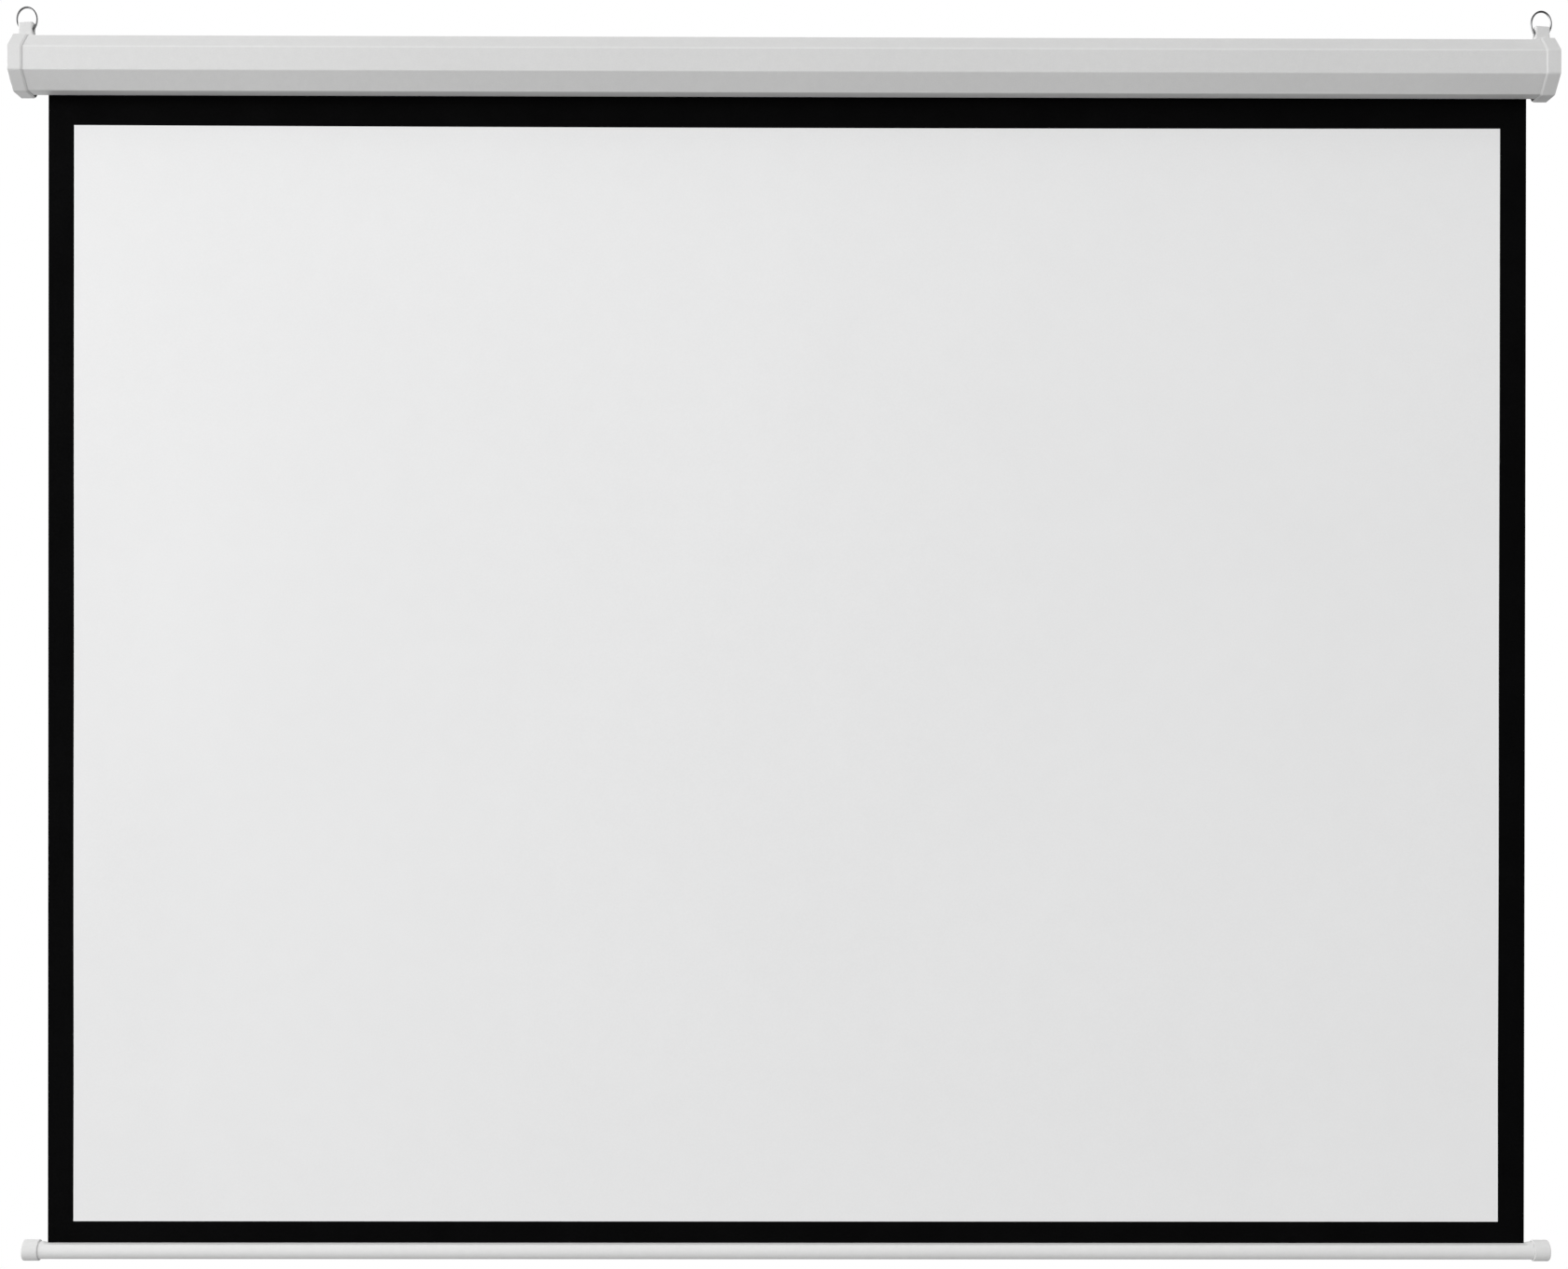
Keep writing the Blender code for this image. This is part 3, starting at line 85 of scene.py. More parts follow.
# The bar's axis, and the flats beside its slot: their fall outwards, and their height over the axis where
# they would meet
BAR_Z = BAR_LOW.z + BAR_RADIUS
FLAT_FALL = ((BAR_RADIUS - BAR_FLAT_DROP - BAR_RADIUS * math.cos(BAR_FLAT_ANGLE))
             / (BAR_RADIUS * math.sin(BAR_FLAT_ANGLE) - BAR_SLOT / 2))
FLAT_TOP = BAR_RADIUS - BAR_FLAT_DROP + FLAT_FALL * (BAR_SLOT / 2)

# The printed border's width at the sides of the white area, and the white area's top edge and its sag
BORDER_LEFT = 0.0363
BORDER_RIGHT = 0.0374
WHITE_TOP = -0.0788
WHITE_TOP_SAG = 0.0016


# Camera, fitted to the outlines in the photograph

IMAGE_WIDTH = 1680
SENSOR = 36.0
FOCAL_PIXELS = 2251.1
CAMERA_PLACE = Vector((-0.01294, -3.01951, -0.95077))
CAMERA_YAW = math.radians(0.244)
CAMERA_PITCH = math.radians(-0.119)
CAMERA_ROLL = math.radians(0.080)
CAMERA_SHIFT = 0.0693


def make_camera():
    lens = bpy.data.cameras.new("camera")
    lens.sensor_width = SENSOR
    lens.lens = FOCAL_PIXELS * SENSOR / IMAGE_WIDTH
    lens.shift_y = CAMERA_SHIFT
    camera = bpy.data.objects.new("camera", lens)
    ahead = Vector((math.sin(CAMERA_YAW) * math.cos(CAMERA_PITCH),
                    math.cos(CAMERA_YAW) * math.cos(CAMERA_PITCH), math.sin(CAMERA_PITCH)))
    across = Vector((math.cos(CAMERA_YAW), -math.sin(CAMERA_YAW), 0))
    up = across.cross(ahead)
    right = across * math.cos(CAMERA_ROLL) + up * math.sin(CAMERA_ROLL)
    above = up * math.cos(CAMERA_ROLL) - across * math.sin(CAMERA_ROLL)
    turn = Matrix((right, above, -ahead)).transposed().to_4x4()
    camera.matrix_world = Matrix.Translation(CAMERA_PLACE) @ turn
    bpy.context.scene.collection.objects.link(camera)
    bpy.context.scene.camera = camera


# Shader nodes

class Nodes:
    """A node tree, with the nodes that the materials and the world share."""

    def __init__(self, tree):
        self.tree = tree

    def node(self, kind, **settings):
        new = self.tree.nodes.new(kind)
        for name, value in settings.items():
            setattr(new, name, value)
        return new

    def link(self, output, socket):
        self.tree.links.new(output, socket)

    def split(self, vector):
        """The X, Y and Z of a place or a direction."""
        parts = self.node("ShaderNodeSeparateXYZ")
        self.link(vector, parts.inputs["Vector"])
        return parts.outputs

    def calculate(self, operation, *values):
        combine = self.node("ShaderNodeMath", operation=operation)
        for socket, value in zip(combine.inputs, values):
            if isinstance(value, (int, float)):
                socket.default_value = value
            else:
                self.link(value, socket)
        return combine.outputs["Value"]

    def span(self, value, low, high, start, end):
        """Carry a value from start..end over to low..high, and hold it there beyond them."""
        change = self.node("ShaderNodeMapRange")
        for name, number in (("From Min", start), ("From Max", end), ("To Min", low), ("To Max", high)):
            change.inputs[name].default_value = number
        self.link(value, change.inputs["Value"])
        return change.outputs["Result"]


# Noise keeps near the middle of 0..1, and these two values hold most of it
NOISE_LOW = 0.3
NOISE_HIGH = 0.7

# The wave texture at scale 1 turns this many radians in a metre
WAVE_RATE = 20


class Look(Nodes):
    """A procedural material: one Principled shader, fed by layers of noise in the object's own space."""

    def __init__(self, name, colour, roughness, metallic=0.0, specular=0.5, sheen=0.0):
        self.material = bpy.data.materials.new(name)
        self.material.use_nodes = True
        super().__init__(self.material.node_tree)
        self.shader = self.tree.nodes["Principled BSDF"]
        self.shader.inputs["Base Color"].default_value = (*colour, 1.0)
        self.shader.inputs["Roughness"].default_value = roughness
        self.shader.inputs["Metallic"].default_value = metallic
        self.shader.inputs["Specular IOR Level"].default_value = specular
        self.shader.inputs["Sheen Weight"].default_value = sheen
        self.place = self.node("ShaderNodeTexCoord").outputs["Object"]
        self.first_colour = (*colour, 1.0)
        self.colour = None
        self.normal = None

    def scaled(self, size, stretch=(1, 1, 1)):
        mapping = self.node("ShaderNodeMapping")
        mapping.inputs["Scale"].default_value = [1 / (size * s) for s in stretch]
        self.link(self.place, mapping.inputs["Vector"])
        return mapping.outputs["Vector"]

    def noise(self, size, detail=2.0, stretch=(1, 1, 1), distortion=0.0):
        """Noise whose features are about size metres across."""
        texture = self.node("ShaderNodeTexNoise")
        texture.inputs["Scale"].default_value = 1.0
        texture.inputs["Detail"].default_value = detail
        texture.inputs["Distortion"].default_value = distortion
        self.link(self.scaled(size, stretch), texture.inputs["Vector"])
        return texture.outputs["Fac"]

    def cells(self, size, feature):
        texture = self.node("ShaderNodeTexVoronoi", feature=feature)
        texture.inputs["Scale"].default_value = 1.0
        self.link(self.scaled(size), texture.inputs["Vector"])
        return texture.outputs

    def cell_shades(self, size):
        """A random value for each cell, about size metres across."""
        split = self.node("ShaderNodeSeparateColor")
        self.link(self.cells(size, "F1")["Color"], split.inputs["Color"])
        return split.outputs["Red"]

    def cell_edges(self, size):
        """The distance to the nearest edge between cells, as a share of their size."""
        return self.cells(size, "DISTANCE_TO_EDGE")["Distance"]

    def threads(self, size, direction):
        """Even ridges, size metres apart, along one axis."""
        texture = self.node("ShaderNodeTexWave", wave_type="BANDS", bands_direction=direction)
        texture.inputs["Scale"].default_value = 2 * math.pi / (WAVE_RATE * size)
        texture.inputs["Distortion"].default_value = 0.4
        texture.inputs["Detail"].default_value = 1.0
        self.link(self.place, texture.inputs["Vector"])
        return texture.outputs["Fac"]

    def take_colour(self, socket):
        """Give a socket the colour so far."""
        if self.colour is None:
            socket.default_value = self.first_colour[:len(socket.default_value)]
        else:
            self.link(self.colour, socket)

    def set_colour(self, output):
        self.colour = output
        self.link(output, self.shader.inputs["Base Color"])

    def paint(self, factor, colour):
        """Lay another colour over the present one where factor is 1."""
        mix = self.node("ShaderNodeMix", data_type="RGBA")
        below, above, result = mix.inputs[6], mix.inputs[7], mix.outputs[2]
        self.link(factor, mix.inputs["Factor"])
        self.take_colour(below)
        above.default_value = (*colour, 1.0)
        self.set_colour(result)

    def tint(self, value, amount, start=NOISE_LOW, end=NOISE_HIGH):
        """Make the colour darker and lighter by the amount, after a value."""
        shade = self.span(value, 1 - amount, 1 + amount, start, end)
        scale = self.node("ShaderNodeVectorMath", operation="SCALE")
        self.take_colour(scale.inputs[0])
        self.link(shade, scale.inputs["Scale"])
        self.set_colour(scale.outputs["Vector"])

    def gloss(self, value, low, high):
        """Let the roughness go from low to high, after a noise."""
        self.link(self.span(value, low, high, NOISE_LOW, NOISE_HIGH), self.shader.inputs["Roughness"])

    def bump(self, value, depth):
        relief = self.node("ShaderNodeBump")
        relief.inputs["Strength"].default_value = 1.0
        relief.inputs["Distance"].default_value = depth
        self.link(value, relief.inputs["Height"])
        if self.normal is not None:
            self.link(self.normal, relief.inputs["Normal"])
        self.normal = relief.outputs["Normal"]
        self.link(self.normal, self.shader.inputs["Normal"])


# Materials. The sizes of noises, cells and threads and the depths of bumps are in metres.

# Painted highlight: how much lighter the case's folds are painted, standing in for the glint of light on the
# bends
PAINTED_GLINT_ON_FOLDS = 1.09
FOLD_CORE = 0.0005
FOLD_REACH = 0.0016
THREAD_SPACING = 0.0011
COPPER_EDGE = 0.02
COPPER_END = 0.05
MASK_REACH = 0.0002
MASK_EDGE = 0.0001
LENGTHWISE = (40, 1, 1)


def case_glint_folds(look):
    """1 on the case's eight folds, which are all CASE_FOLD from its middle, in height or in depth: where the
    painted highlight goes.
    """
    place = look.split(look.place)
    folds = None
    for part, middle in (("Y", CASE_Y), ("Z", 0.0)):
        offset = look.calculate("ABSOLUTE", look.calculate("SUBTRACT", place[part], middle))
        away = look.calculate("ABSOLUTE", look.calculate("SUBTRACT", offset, CASE_FOLD))
        on_fold = look.span(away, 1.0, 0.0, FOLD_CORE, FOLD_REACH)
        folds = on_fold if folds is None else look.calculate("MAXIMUM", folds, on_fold)
    return folds


def enamel(name, colour, low, high, specular=0.5, find_glint_folds=None):
    """Powder coat on steel: orange peel, faint rolling waves and clouds, and a painted highlight along the
    folds in place of the glint of light on the bends.
    """
    look = Look(name, colour, (low + high) / 2, specular=specular)
    # Paint the folds lighter: a painted highlight for the glint of light along the bends
    if find_glint_folds is not None:
        look.paint(find_glint_folds(look), [PAINTED_GLINT_ON_FOLDS * part for part in colour])
    look.tint(look.noise(0.30, 2), 0.010)
    look.tint(look.noise(0.010, 3), 0.012)
    look.tint(look.noise(0.0016, 2), 0.018)
    look.gloss(look.noise(0.018, 3), low, high)
    look.bump(look.noise(0.045, 1, stretch=(6, 1, 1)), 0.00010)
    look.bump(look.noise(0.0026, 2), 0.000022)
    return look.material


def moulded(name, colour, low, high, specular=0.5):
    """Moulded plastic with a fine spark-eroded grain and faint flow marks."""
    look = Look(name, colour, (low + high) / 2, specular=specular)
    look.tint(look.noise(0.030, 2, distortion=1.5), 0.012)
    look.tint(look.noise(0.0012, 3), 0.02)
    look.gloss(look.noise(0.004, 4), low, high)
    look.bump(look.noise(0.0007, 3), 0.00002)
    return look.material


def weave(look):
    """The threads of the cloth under the coating, and the coating's own grain."""
    warp = look.threads(THREAD_SPACING, "X")
    weft = look.threads(THREAD_SPACING, "Z")
    look.bump(look.calculate("MULTIPLY", warp, weft), 0.00002)
    look.bump(look.noise(0.0009, 3), 0.00004)


def screen_white():
    """Matt white coating over a glass cloth, whose threads show faintly through it."""
    look = Look("screen_white", (0.872, 0.873, 0.875), 0.86, specular=0.35, sheen=0.04)
    look.tint(look.noise(0.42, 3, distortion=0.8), 0.006)
    look.tint(look.noise(0.035, 4), 0.005)
    look.tint(look.noise(0.0022, 3), 0.012)
    look.gloss(look.noise(0.003, 3), 0.80, 0.92)
    weave(look)
    return look.material


def screen_black():
    """Matt black print and backing with the same grain."""
    look = Look("screen_black", (0.0020, 0.0020, 0.0021), 0.72, specular=0.03)
    look.tint(look.noise(0.05, 4), 0.20)
    look.tint(look.noise(0.0022, 3), 0.25)
    look.gloss(look.noise(0.004, 3), 0.62, 0.80)
    weave(look)
    return look.material


def chrome():
    look = Look("ring_chrome", (0.28, 0.282, 0.286), 0.10, metallic=1.0)
    look.tint(look.noise(0.006, 3), 0.05)
    look.gloss(look.noise(0.0025, 4), 0.06, 0.17)
    look.bump(look.noise(0.0012, 3), 0.00001)
    return look.material


def zinc_sheet():
    """Zinc plate: crystals of slightly different grey, and a brushed grain."""
    look = Look("zinc_plate", (0.60, 0.61, 0.63), 0.35, metallic=1.0)
    look.tint(look.cell_shades(0.0045), 0.10, 0.0, 1.0)
    look.tint(look.noise(0.02, 3), 0.06)
    look.gloss(look.noise(0.0015, 3, stretch=(1, 1, 8)), 0.26, 0.44)
    look.bump(look.noise(0.0005, 2, stretch=(1, 1, 12)), 0.000008)
    return look.material


def bright_metal(name, colour, low, high, stretch=(1, 1, 1)):
    """Plated steel or plain aluminium with fine marks, which may run one way."""
    look = Look(name, colour, (low + high) / 2, metallic=1.0)
    look.tint(look.noise(0.008, 4), 0.06)
    look.tint(look.noise(0.0012, 3, stretch=stretch), 0.06)
    look.gloss(look.noise(0.0016, 3, stretch=stretch), low, high)
    look.bump(look.noise(0.0006, 2, stretch=stretch), 0.00001)
    return look.material


def circuit_board():
    """Green solder mask with copper tracks under it, and dark parts that stand on its front."""
    look = Look("circuit_board", (0.02, 0.16, 0.06), 0.35)
    tracks = look.span(look.cell_edges(0.006), 0.55, 0.0, COPPER_EDGE, COPPER_END)
    look.paint(tracks, (0.08, 0.34, 0.14))
    mask_front = BOARD_BACK - BOARD_THICKNESS - MASK_REACH
    parts = look.span(look.split(look.place)["Y"], 1.0, 0.0, mask_front - MASK_EDGE, mask_front)
    look.paint(parts, (0.035, 0.05, 0.09))
    look.tint(look.noise(0.004, 3), 0.08)
    look.gloss(look.noise(0.003, 3), 0.28, 0.45)
    look.bump(look.noise(0.0008, 2), 0.00001)
    return look.material


# Each with its colour, and the roughness that it has where it is smoothest and roughest
LOOKS = {
    "case_enamel": enamel("case_enamel", (0.707, 0.707, 0.704), 0.36, 0.46, 0.8, case_glint_folds),
    "bar_enamel": enamel("bar_enamel", (0.795, 0.795, 0.792), 0.32, 0.44),
    "end_cap_plastic": moulded("end_cap_plastic", (0.702, 0.702, 0.699), 0.36, 0.48, 0.8),
    "bar_cap_plastic": moulded("bar_cap_plastic", (0.755, 0.755, 0.752), 0.38, 0.50),
    "screen_white": screen_white(),
    "screen_black": screen_black(),
    "ring_chrome": chrome(),
    "zinc_plate": zinc_sheet(),
    "fastener_steel": bright_metal("fastener_steel", (0.62, 0.63, 0.64), 0.22, 0.40),
    "motor_steel": bright_metal("motor_steel", (0.58, 0.59, 0.60), 0.30, 0.46, LENGTHWISE),
    "roller_aluminium": bright_metal("roller_aluminium", (0.74, 0.75, 0.76), 0.28, 0.42, LENGTHWISE),
    "black_nylon": moulded("black_nylon", (0.020, 0.020, 0.021), 0.42, 0.58, 0.4),
    "natural_nylon": moulded("natural_nylon", (0.72, 0.71, 0.65), 0.38, 0.50),
    "receiver_plastic": moulded("receiver_plastic", (0.30, 0.31, 0.32), 0.42, 0.55),
    "circuit_board": circuit_board(),
    "lead_sheath": moulded("lead_sheath", (0.022, 0.022, 0.022), 0.50, 0.65),
    "red_plastic": moulded("red_plastic", (0.55, 0.03, 0.02), 0.25, 0.38),
    "yellow_plastic": moulded("yellow_plastic", (0.72, 0.48, 0.03), 0.25, 0.38),
}


def dress_nodes():
    """Give every node that the frame carries the material of its slot."""
    for row in frame["record"]["subparts"]:
        node = frame["nodes"][row["node"]]
        node.data.materials.clear()
        node.data.materials.append(LOOKS[row["material_slot"]])


# Mesh tools

SHARP = math.radians(32)


def finish_mesh(name, shape, sharp):
    """Turn a bmesh into a smooth mesh with sharp edges from an angle on."""
    bmesh.ops.recalc_face_normals(shape, faces=shape.faces)
    mesh = bpy.data.meshes.new(name)
    shape.to_mesh(mesh)
    shape.free()
    mesh.shade_smooth()
    mesh.set_sharp_from_angle(angle=sharp)
    return mesh


def new_piece(name, shape, looks, body, node, sharp=SHARP):
    """A piece that rides on a body and stands for a CAD node; its slot is that of the first look."""
    mesh = finish_mesh(name, shape, sharp)
    piece = bpy.data.objects.new(name, mesh)
    bpy.context.scene.collection.objects.link(piece)
    for look in looks:
        mesh.materials.append(LOOKS[look])
    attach(piece, body)
    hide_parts(node)
    return piece


def loft(sections, closed=False):
    """Skin a row of loops that have the same number of points."""
    shape = bmesh.new()
    rings = [[shape.verts.new(point) for point in section] for section in sections]
    pairs = list(zip(rings, rings[1:]))
    if closed:
        pairs.append((rings[-1], rings[0]))
    else:
        shape.faces.new(rings[0])
        shape.faces.new(rings[-1])
    for one, other in pairs:
        for i in range(len(one)):
            j = (i + 1) % len(one)
            shape.faces.new((one[i], one[j], other[j], other[i]))
    return shape


def sheet_section(path, thickness):
    """The closed outline of a sheet of one thickness that follows an open path."""
    left = []
    right = []
    for i, here in enumerate(path):
        into = (here - path[i - 1]).normalized() if i > 0 else None
        out = (path[i + 1] - here).normalized() if i < len(path) - 1 else None
        into = into or out
        out = out or into
        along = (into + out).normalized()
        normal = Vector((-along.y, along.x)) * (thickness / 2 / along.dot(into))
        left.append(here + normal)
        right.append(here - normal)
    return left + right[::-1]


def steps_between(low, high, size):
    """Places from low on, about size apart, without the last one."""
    count = max(1, round((high - low) / size))
    return [low + (high - low) * i / count for i in range(count)]


def stations(low, high, size):
    """Places from low to high, about size apart."""
    return steps_between(low, high, size) + [high]


def smooth(value):
    """Rise from 0 to 1 with level ends."""
    value = max(0.0, min(1.0, value))
    return value * value * (3 - 2 * value)


# Fabric

WHITE_STEP = 0.03
BORDER_STEP = 0.012
TOP_BORDER_STEP = 0.01

# Waves: depths in metres, places, widths and level edges as shares of the fabric's width or drop, and the
# side waves' phase in radians over the whole drop
WAVE_DEPTH = 0.00045
SIDE_WAVE_DEPTH = 0.0009
SIDE_WAVE_PLACE = 0.04
SIDE_WAVE_WIDTH = 0.05
SIDE_WAVE_RISE = 15
LEVEL_AT_BAR = 0.15
LEVEL_AT_ROLLER = 0.6
LEVEL_AT_SIDES = 0.02

# Each long wave's share of the depth, and its phase in radians: the change over the fabric's whole width and
# over its whole drop, and the start
LONG_WAVES = ((1.0, 7.3, 2.1, 0.0), (0.6, 13.0, -4.7, 1.0))


def fabric_bow(x, z):
    """How far the hanging fabric stands off its plane: faint long waves that die out at all its edges."""
    u = (x - FABRIC_LOW.x) / FABRIC_WIDTH
    v = (z - FABRIC_LOW.z) / FABRIC_DROP
    fade = (smooth(v / LEVEL_AT_BAR) * smooth((1 - v) / LEVEL_AT_ROLLER)
            * smooth(u / LEVEL_AT_SIDES) * smooth((1 - u) / LEVEL_AT_SIDES))
    waves = sum(share * math.sin(across * u + up * v + start) for share, across, up, start in LONG_WAVES)
    near_left = math.exp(-((u - SIDE_WAVE_PLACE) / SIDE_WAVE_WIDTH) ** 2)
    near_right = math.exp(-((u - (1 - SIDE_WAVE_PLACE)) / SIDE_WAVE_WIDTH) ** 2)
    side_waves = (near_left + near_right) * math.sin(SIDE_WAVE_RISE * v)
    return fade * (WAVE_DEPTH * waves + SIDE_WAVE_DEPTH * side_waves)


def print_sag(x, z):
    """How far the print's top edge sags with the roller, fading out above and below it."""
    u = 2 * (x - FABRIC_X) / FABRIC_WIDTH
    above = smooth((FABRIC_HIGH.z - z) / (FABRIC_HIGH.z - WHITE_TOP))
    below = smooth((z - FABRIC_LOW.z) / (WHITE_TOP - FABRIC_LOW.z))
    return WHITE_TOP_SAG * (1 - u * u) * above * below


def make_fabric():
    """The fabric as a closed sheet: white in front within its printed border, black elsewhere."""
    white_left = FABRIC_LOW.x + BORDER_LEFT
    white_right = FABRIC_HIGH.x - BORDER_RIGHT
    columns = (steps_between(FABRIC_LOW.x, white_left, BORDER_STEP)
               + steps_between(white_left, white_right, WHITE_STEP)
               + stations(white_right, FABRIC_HIGH.x, BORDER_STEP))
    rows = (steps_between(FABRIC_LOW.z, WHITE_TOP, WHITE_STEP)
            + stations(WHITE_TOP, FABRIC_HIGH.z, TOP_BORDER_STEP))
    looks = ("screen_white", "screen_black")
    white, black = 0, 1
    shape = bmesh.new()
    half = FABRIC_THICKNESS / 2
    front, back = ([[shape.verts.new((x, FABRIC_Y + offset + fabric_bow(x, z), z - print_sag(x, z)))
                     for x in columns] for z in rows] for offset in (-half, half))
    last_row = len(rows) - 1
    last_column = len(columns) - 1
    for r in range(last_row):
        for c in range(last_column):
            x = (columns[c] + columns[c + 1]) / 2
            z = (rows[r] + rows[r + 1]) / 2
            inside = white_left < x < white_right and z < WHITE_TOP
            face = shape.faces.new((front[r][c], front[r][c + 1], front[r + 1][c + 1], front[r + 1][c]))
            face.material_index = white if inside else black
            face = shape.faces.new((back[r][c], back[r + 1][c], back[r + 1][c + 1], back[r][c + 1]))
            face.material_index = black
    rim = [(r, 0) for r in range(last_row)]
    rim += [(last_row, c) for c in range(last_column)]
    rim += [(r, last_column) for r in range(last_row, 0, -1)]
    rim += [(0, c) for c in range(last_column, 0, -1)]
    for (r, c), (next_r, next_c) in zip(rim, rim[1:] + rim[:1]):
        face = shape.faces.new((front[r][c], front[next_r][next_c], back[next_r][next_c], back[r][c]))
        face.material_index = black
    fabric = new_piece("fabric_sheet", shape, looks, "case", "screen_fabric")
    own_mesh(fabric)


# Lower border and leader

STRAIGHT_POINTS_BELOW_TOP = (0.0, 0.010, 0.020)
STRAIGHT_END_RADII = 1.25
HEM_START = math.radians(30)
HEM_END = math.radians(345)
HEM_STEPS = 48
BORDER_STATION = 0.03
LEADER_STEPS = 144
LEADER_STATION = 0.15


def make_sheet_along(name, path, station, body, node):
    """A black sheet as wide as the fabric, which follows a path of (y, z)."""
    outline = sheet_section(path, FABRIC_THICKNESS)
    sections = [[(x, y, z) for y, z in outline] for x in stations(FABRIC_LOW.x, FABRIC_HIGH.x, station)]
    piece = new_piece(name, loft(sections), ("screen_black",), body, node)


def make_border():
    """The lower border: one strip, straight down to its rod and hemmed round it."""
    # The rod's distance to the bar's flats takes in its hem, with one gap in it and two over it
    hem = HEM_ROD_RADIUS + FABRIC_THICKNESS + 3 * FIT
    rod_z = BAR_Z + FLAT_TOP - BAR_WALL - hem * math.hypot(1, FLAT_FALL)
    radius = HEM_ROD_RADIUS + FIT + FABRIC_THICKNESS / 2
    path = [Vector((FABRIC_Y, FABRIC_LOW.z - below)) for below in STRAIGHT_POINTS_BELOW_TOP]
    path.append(Vector((FABRIC_Y, rod_z + STRAIGHT_END_RADII * radius)))
    for step in range(HEM_STEPS + 1):
        angle = HEM_START + (HEM_END - HEM_START) * step / HEM_STEPS
        path.append(Vector((FABRIC_Y + radius * math.sin(angle), rod_z + radius * math.cos(angle))))
    make_sheet_along("border_strip", path, BORDER_STATION, "bar", "lower_border")


def make_leader():
    """The turns of black leader that stay on the roller."""
    pitch = FABRIC_THICKNESS + FIT
    start_radius = ROLLER_RADIUS + FIT + FABRIC_THICKNESS / 2
    path = []
    for step in range(LEADER_STEPS + 1):
        turn = LEADER_TURNS * step / LEADER_STEPS
        radius = start_radius + pitch * turn
        angle = 2 * math.pi * (LEADER_TURNS - turn)
        path.append(Vector((ROLLER_Y + radius * math.cos(angle), radius * math.sin(angle))))
    make_sheet_along("leader_turns", path, LEADER_STATION, "roller", "wound_leader")


# Weight bar

FLAT_STEPS = 10
ROUND_STEPS = 84
RUNOUT_STEPS = 8
BAR_STATION = 0.1
BAR_SHARP = math.radians(40)


def bar_profile(press):
    """Angles round the bar from its top, and how far its surface lies inside the round there."""
    groove = BAR_FLAT_ANGLE + BAR_GROOVE_ANGLE
    shoulder = groove + BAR_GROOVE_ANGLE
    half_floor = BAR_GROOVE_ANGLE / 3
    slot = math.asin(BAR_SLOT / 2 / BAR_RADIUS)
    flat = [slot + (BAR_FLAT_ANGLE - slot) * i / FLAT_STEPS for i in range(FLAT_STEPS + 1)]
    half = [(a, press * (BAR_RADIUS - FLAT_TOP / (math.cos(a) + FLAT_FALL * math.sin(a)))) for a in flat]
    half += [(a, press * BAR_GROOVE_DEPTH) for a in (groove - half_floor, groove + half_floor)]
    around = [shoulder + (2 * math.pi - 2 * shoulder) * i / ROUND_STEPS for i in range(ROUND_STEPS + 1)]
    return half + [(a, 0) for a in around] + [(2 * math.pi - a, depth) for a, depth in reversed(half)]


def bar_section(x, press):
    """The tube's outline at x, its outer side and then its inner one, pressed flat by 0 to 1."""
    profile = bar_profile(press)
    loop = [(BAR_RADIUS - depth, a) for a, depth in profile]
    loop += [(BAR_RADIUS - BAR_WALL - depth, a) for a, depth in reversed(profile)]
    return [(x, FABRIC_Y - radius * math.sin(a), BAR_Z + radius * math.cos(a)) for radius, a in loop]


def make_bar():
    """The bar's tube, whose top is pressed flat beside its slot as far as the fabric goes."""
    shares = [i / RUNOUT_STEPS for i in range(RUNOUT_STEPS + 1)]
    runout = [(BAR_RUNOUT * (1 - share), smooth(share)) for share in shares]
    pressed = stations(FABRIC_LOW.x, FABRIC_HIGH.x, BAR_STATION)[1:-1]
    places = [(BAR_LOW.x, 0.0)]
    places += [(FABRIC_LOW.x - out, press) for out, press in runout]
    places += [(x, 1.0) for x in pressed]
    places += [(FABRIC_HIGH.x + out, press) for out, press in reversed(runout)]
    places += [(BAR_HIGH.x, 0.0)]
    shape = loft([bar_section(x, press) for x, press in places])
    new_piece("bar_tube", shape, ("bar_enamel",), "bar", "weight_bar", BAR_SHARP)


# Hanging rings

RING_STEPS = 160
WIRE_SIDES = 24
WELD_ANGLE = math.radians(298)
WELD_BULGE = 0.08
WELD_WIDTH = 0.045


def make_ring(side):
    """A ring of round wire, with the bead of its butt weld low on its inner side."""
    low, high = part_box(f"{side}_hanging_ring")
    middle = (low + high) / 2
    wire = (high.y - low.y) / 2
    wide = (high.x - low.x) / 2 - wire
    tall = (high.z - low.z) / 2 - wire
    inward = 1 if side == "left" else -1
    round_wire = [2 * math.pi * i / WIRE_SIDES for i in range(WIRE_SIDES)]
    sections = []
    for step in range(RING_STEPS):
        angle = 2 * math.pi * step / RING_STEPS
        radius = wire * (1 + WELD_BULGE * math.exp(-((angle - WELD_ANGLE) / WELD_WIDTH) ** 2))
        centre = middle + Vector((inward * wide * math.cos(angle), 0, tall * math.sin(angle)))
        outward = Vector((inward * tall * math.cos(angle), 0, wide * math.sin(angle))).normalized()
        sections.append([centre + outward * (radius * math.cos(a)) + Vector((0, radius * math.sin(a), 0))
                         for a in round_wire])
    new_piece(f"{side}_ring_wire", loft(sections, closed=True), ("ring_chrome",), f"{side}_ring",
              f"{side}_hanging_ring")


# Light, floor and world

FLOOR_Z = -2.15
FLOOR_SIDE = 12
FLOOR_FRONT = -14
FLOOR_BACK = 1.55
FLOOR_GREY = 0.76

KEY_PLACE = Vector((-2.7, -3.1, 1.0))
KEY_TARGET = Vector((0, 0, -0.6))
KEY_WIDTH = 3.0
KEY_HEIGHT = 2.4
KEY_POWER = 47

# Light from all round: greys from straight below, at 0, to straight above, at 1, and the strength that they
# have at each side
SKY_GREYS = ((0.0, 0.78), (0.38, 0.14), (0.50, 1.16), (0.60, 1.27), (0.80, 0.93), (1.0, 0.72))
SKY_LEFT = 1.37
SKY_RIGHT = 0.61

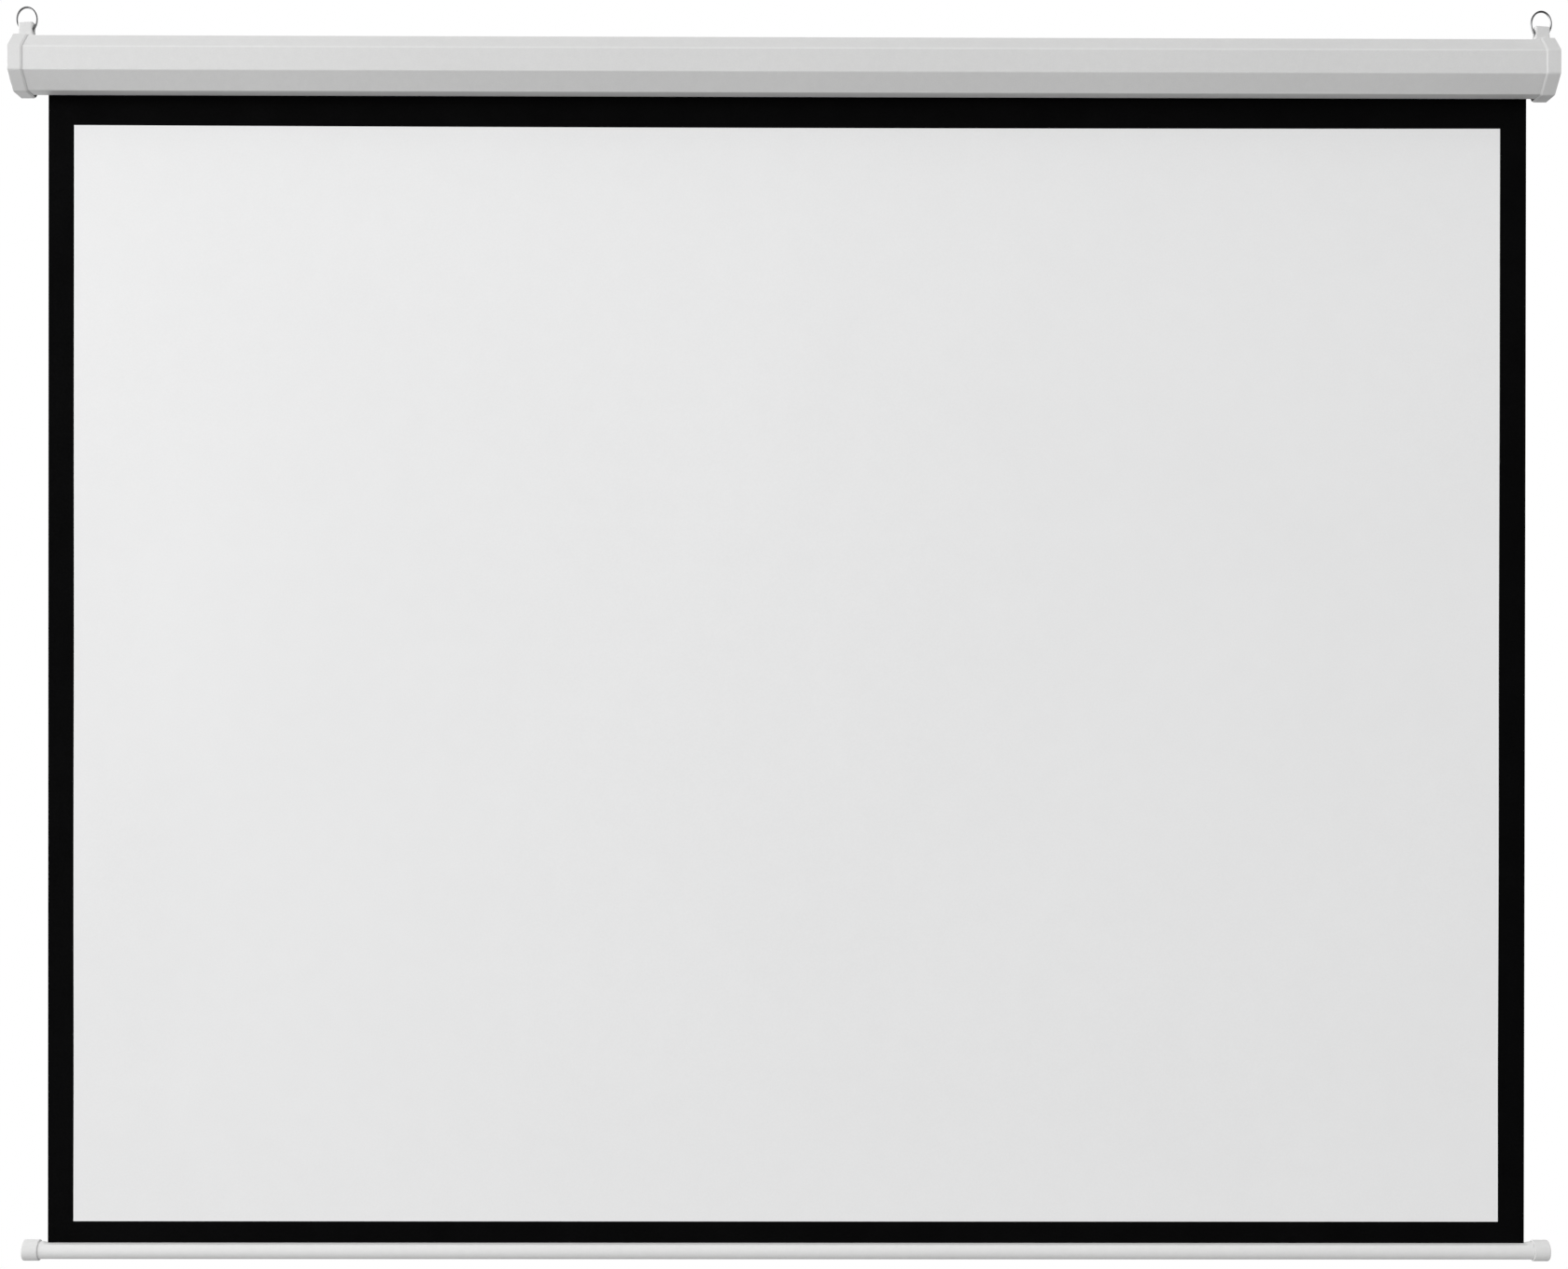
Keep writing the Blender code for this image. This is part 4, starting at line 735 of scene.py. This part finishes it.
# What gloss mirrors: greys from the left, at 0, to the right, at 1, and a strength that falls with the
# direction's slope, up or down
MIRRORED_GREYS = ((0.18, 1.0), (0.30, 0.34), (0.44, 0.15), (0.54, 0.003), (0.70, 0.003), (0.84, 0.30))
MIRRORED_LEVEL = 3.4
MIRRORED_STEEP = 0.80
LEVEL_SLOPE = 0.25
STEEP_SLOPE = 0.60


def make_floor():
    """A pale floor, which the object neither mirrors nor gets light from."""
    shape = bmesh.new()
    corners = ((-FLOOR_SIDE, FLOOR_FRONT), (FLOOR_SIDE, FLOOR_FRONT), (FLOOR_SIDE, FLOOR_BACK),
               (-FLOOR_SIDE, FLOOR_BACK))
    shape.faces.new([shape.verts.new((x, y, FLOOR_Z)) for x, y in corners])
    mesh = bpy.data.meshes.new("floor")
    shape.to_mesh(mesh)
    shape.free()
    floor = bpy.data.objects.new("floor", mesh)
    bpy.context.scene.collection.objects.link(floor)
    look = Look("floor", (FLOOR_GREY, FLOOR_GREY, FLOOR_GREY), 0.75, specular=0.2)
    look.tint(look.noise(0.8, 2), 0.01)
    mesh.materials.append(look.material)
    floor.visible_diffuse = False
    floor.visible_glossy = False


def make_key_light():
    """A large soft light from the upper left, in front."""
    lamp = bpy.data.lights.new("key", "AREA")
    lamp.shape = "RECTANGLE"
    lamp.size = KEY_WIDTH
    lamp.size_y = KEY_HEIGHT
    lamp.energy = KEY_POWER
    light = bpy.data.objects.new("key", lamp)
    light.location = KEY_PLACE
    light.rotation_euler = (KEY_TARGET - KEY_PLACE).to_track_quat("-Z", "Y").to_euler()
    light.visible_glossy = False
    bpy.context.scene.collection.objects.link(light)


class Sky(Nodes):
    """The nodes that only the world has."""

    def greys(self, value, stops):
        """A ramp of greys over a value from -1 to 1, with its stops between 0 and 1."""
        ramp = self.node("ShaderNodeValToRGB")
        elements = ramp.color_ramp.elements
        for element, (position, grey) in zip(elements, (stops[0], stops[-1])):
            element.position = position
            element.color = (grey, grey, grey, 1)
        for position, grey in stops[1:-1]:
            elements.new(position).color = (grey, grey, grey, 1)
        self.link(self.span(value, 0.0, 1.0, -1.0, 1.0), ramp.inputs["Fac"])
        return ramp.outputs["Color"]

    def light(self, colour, strength):
        shader = self.node("ShaderNodeBackground")
        self.link(colour, shader.inputs["Color"])
        self.link(strength, shader.inputs["Strength"])
        return shader.outputs["Background"]

    def choose(self, ray, others, chosen):
        """One light for the chosen kind of ray, and another for the others."""
        mix = self.node("ShaderNodeMixShader")
        self.link(ray, mix.inputs["Fac"])
        self.link(others, mix.inputs[1])
        self.link(chosen, mix.inputs[2])
        return mix.outputs["Shader"]


def make_world():
    """White behind the object, soft light from all round, and other light for gloss to mirror."""
    world = bpy.data.worlds.new("studio")
    bpy.context.scene.world = world
    world.use_nodes = True
    world.node_tree.nodes.clear()
    sky = Sky(world.node_tree)
    direction = sky.split(sky.node("ShaderNodeTexCoord").outputs["Generated"])
    ray = sky.node("ShaderNodeLightPath").outputs

    slant = sky.span(direction["X"], SKY_LEFT, SKY_RIGHT, -1.0, 1.0)
    around = sky.light(sky.greys(direction["Z"], SKY_GREYS), slant)
    slope = sky.calculate("ABSOLUTE", direction["Z"])
    glare = sky.span(slope, MIRRORED_LEVEL, MIRRORED_STEEP, LEVEL_SLOPE, STEEP_SLOPE)
    mirrored = sky.light(sky.greys(direction["X"], MIRRORED_GREYS), glare)
    behind = sky.node("ShaderNodeBackground")
    behind.inputs["Color"].default_value = (1, 1, 1, 1)

    lit = sky.choose(ray["Is Glossy Ray"], around, mirrored)
    seen = sky.choose(ray["Is Camera Ray"], lit, behind.outputs["Background"])
    sky.link(seen, sky.node("ShaderNodeOutputWorld").inputs["Surface"])


make_camera()
make_world()
make_floor()
make_key_light()
bpy.context.scene.view_settings.view_transform = "Standard"

dress_nodes()
make_fabric()
make_border()
make_leader()
make_bar()
for ring_side in ("left", "right"):
    make_ring(ring_side)
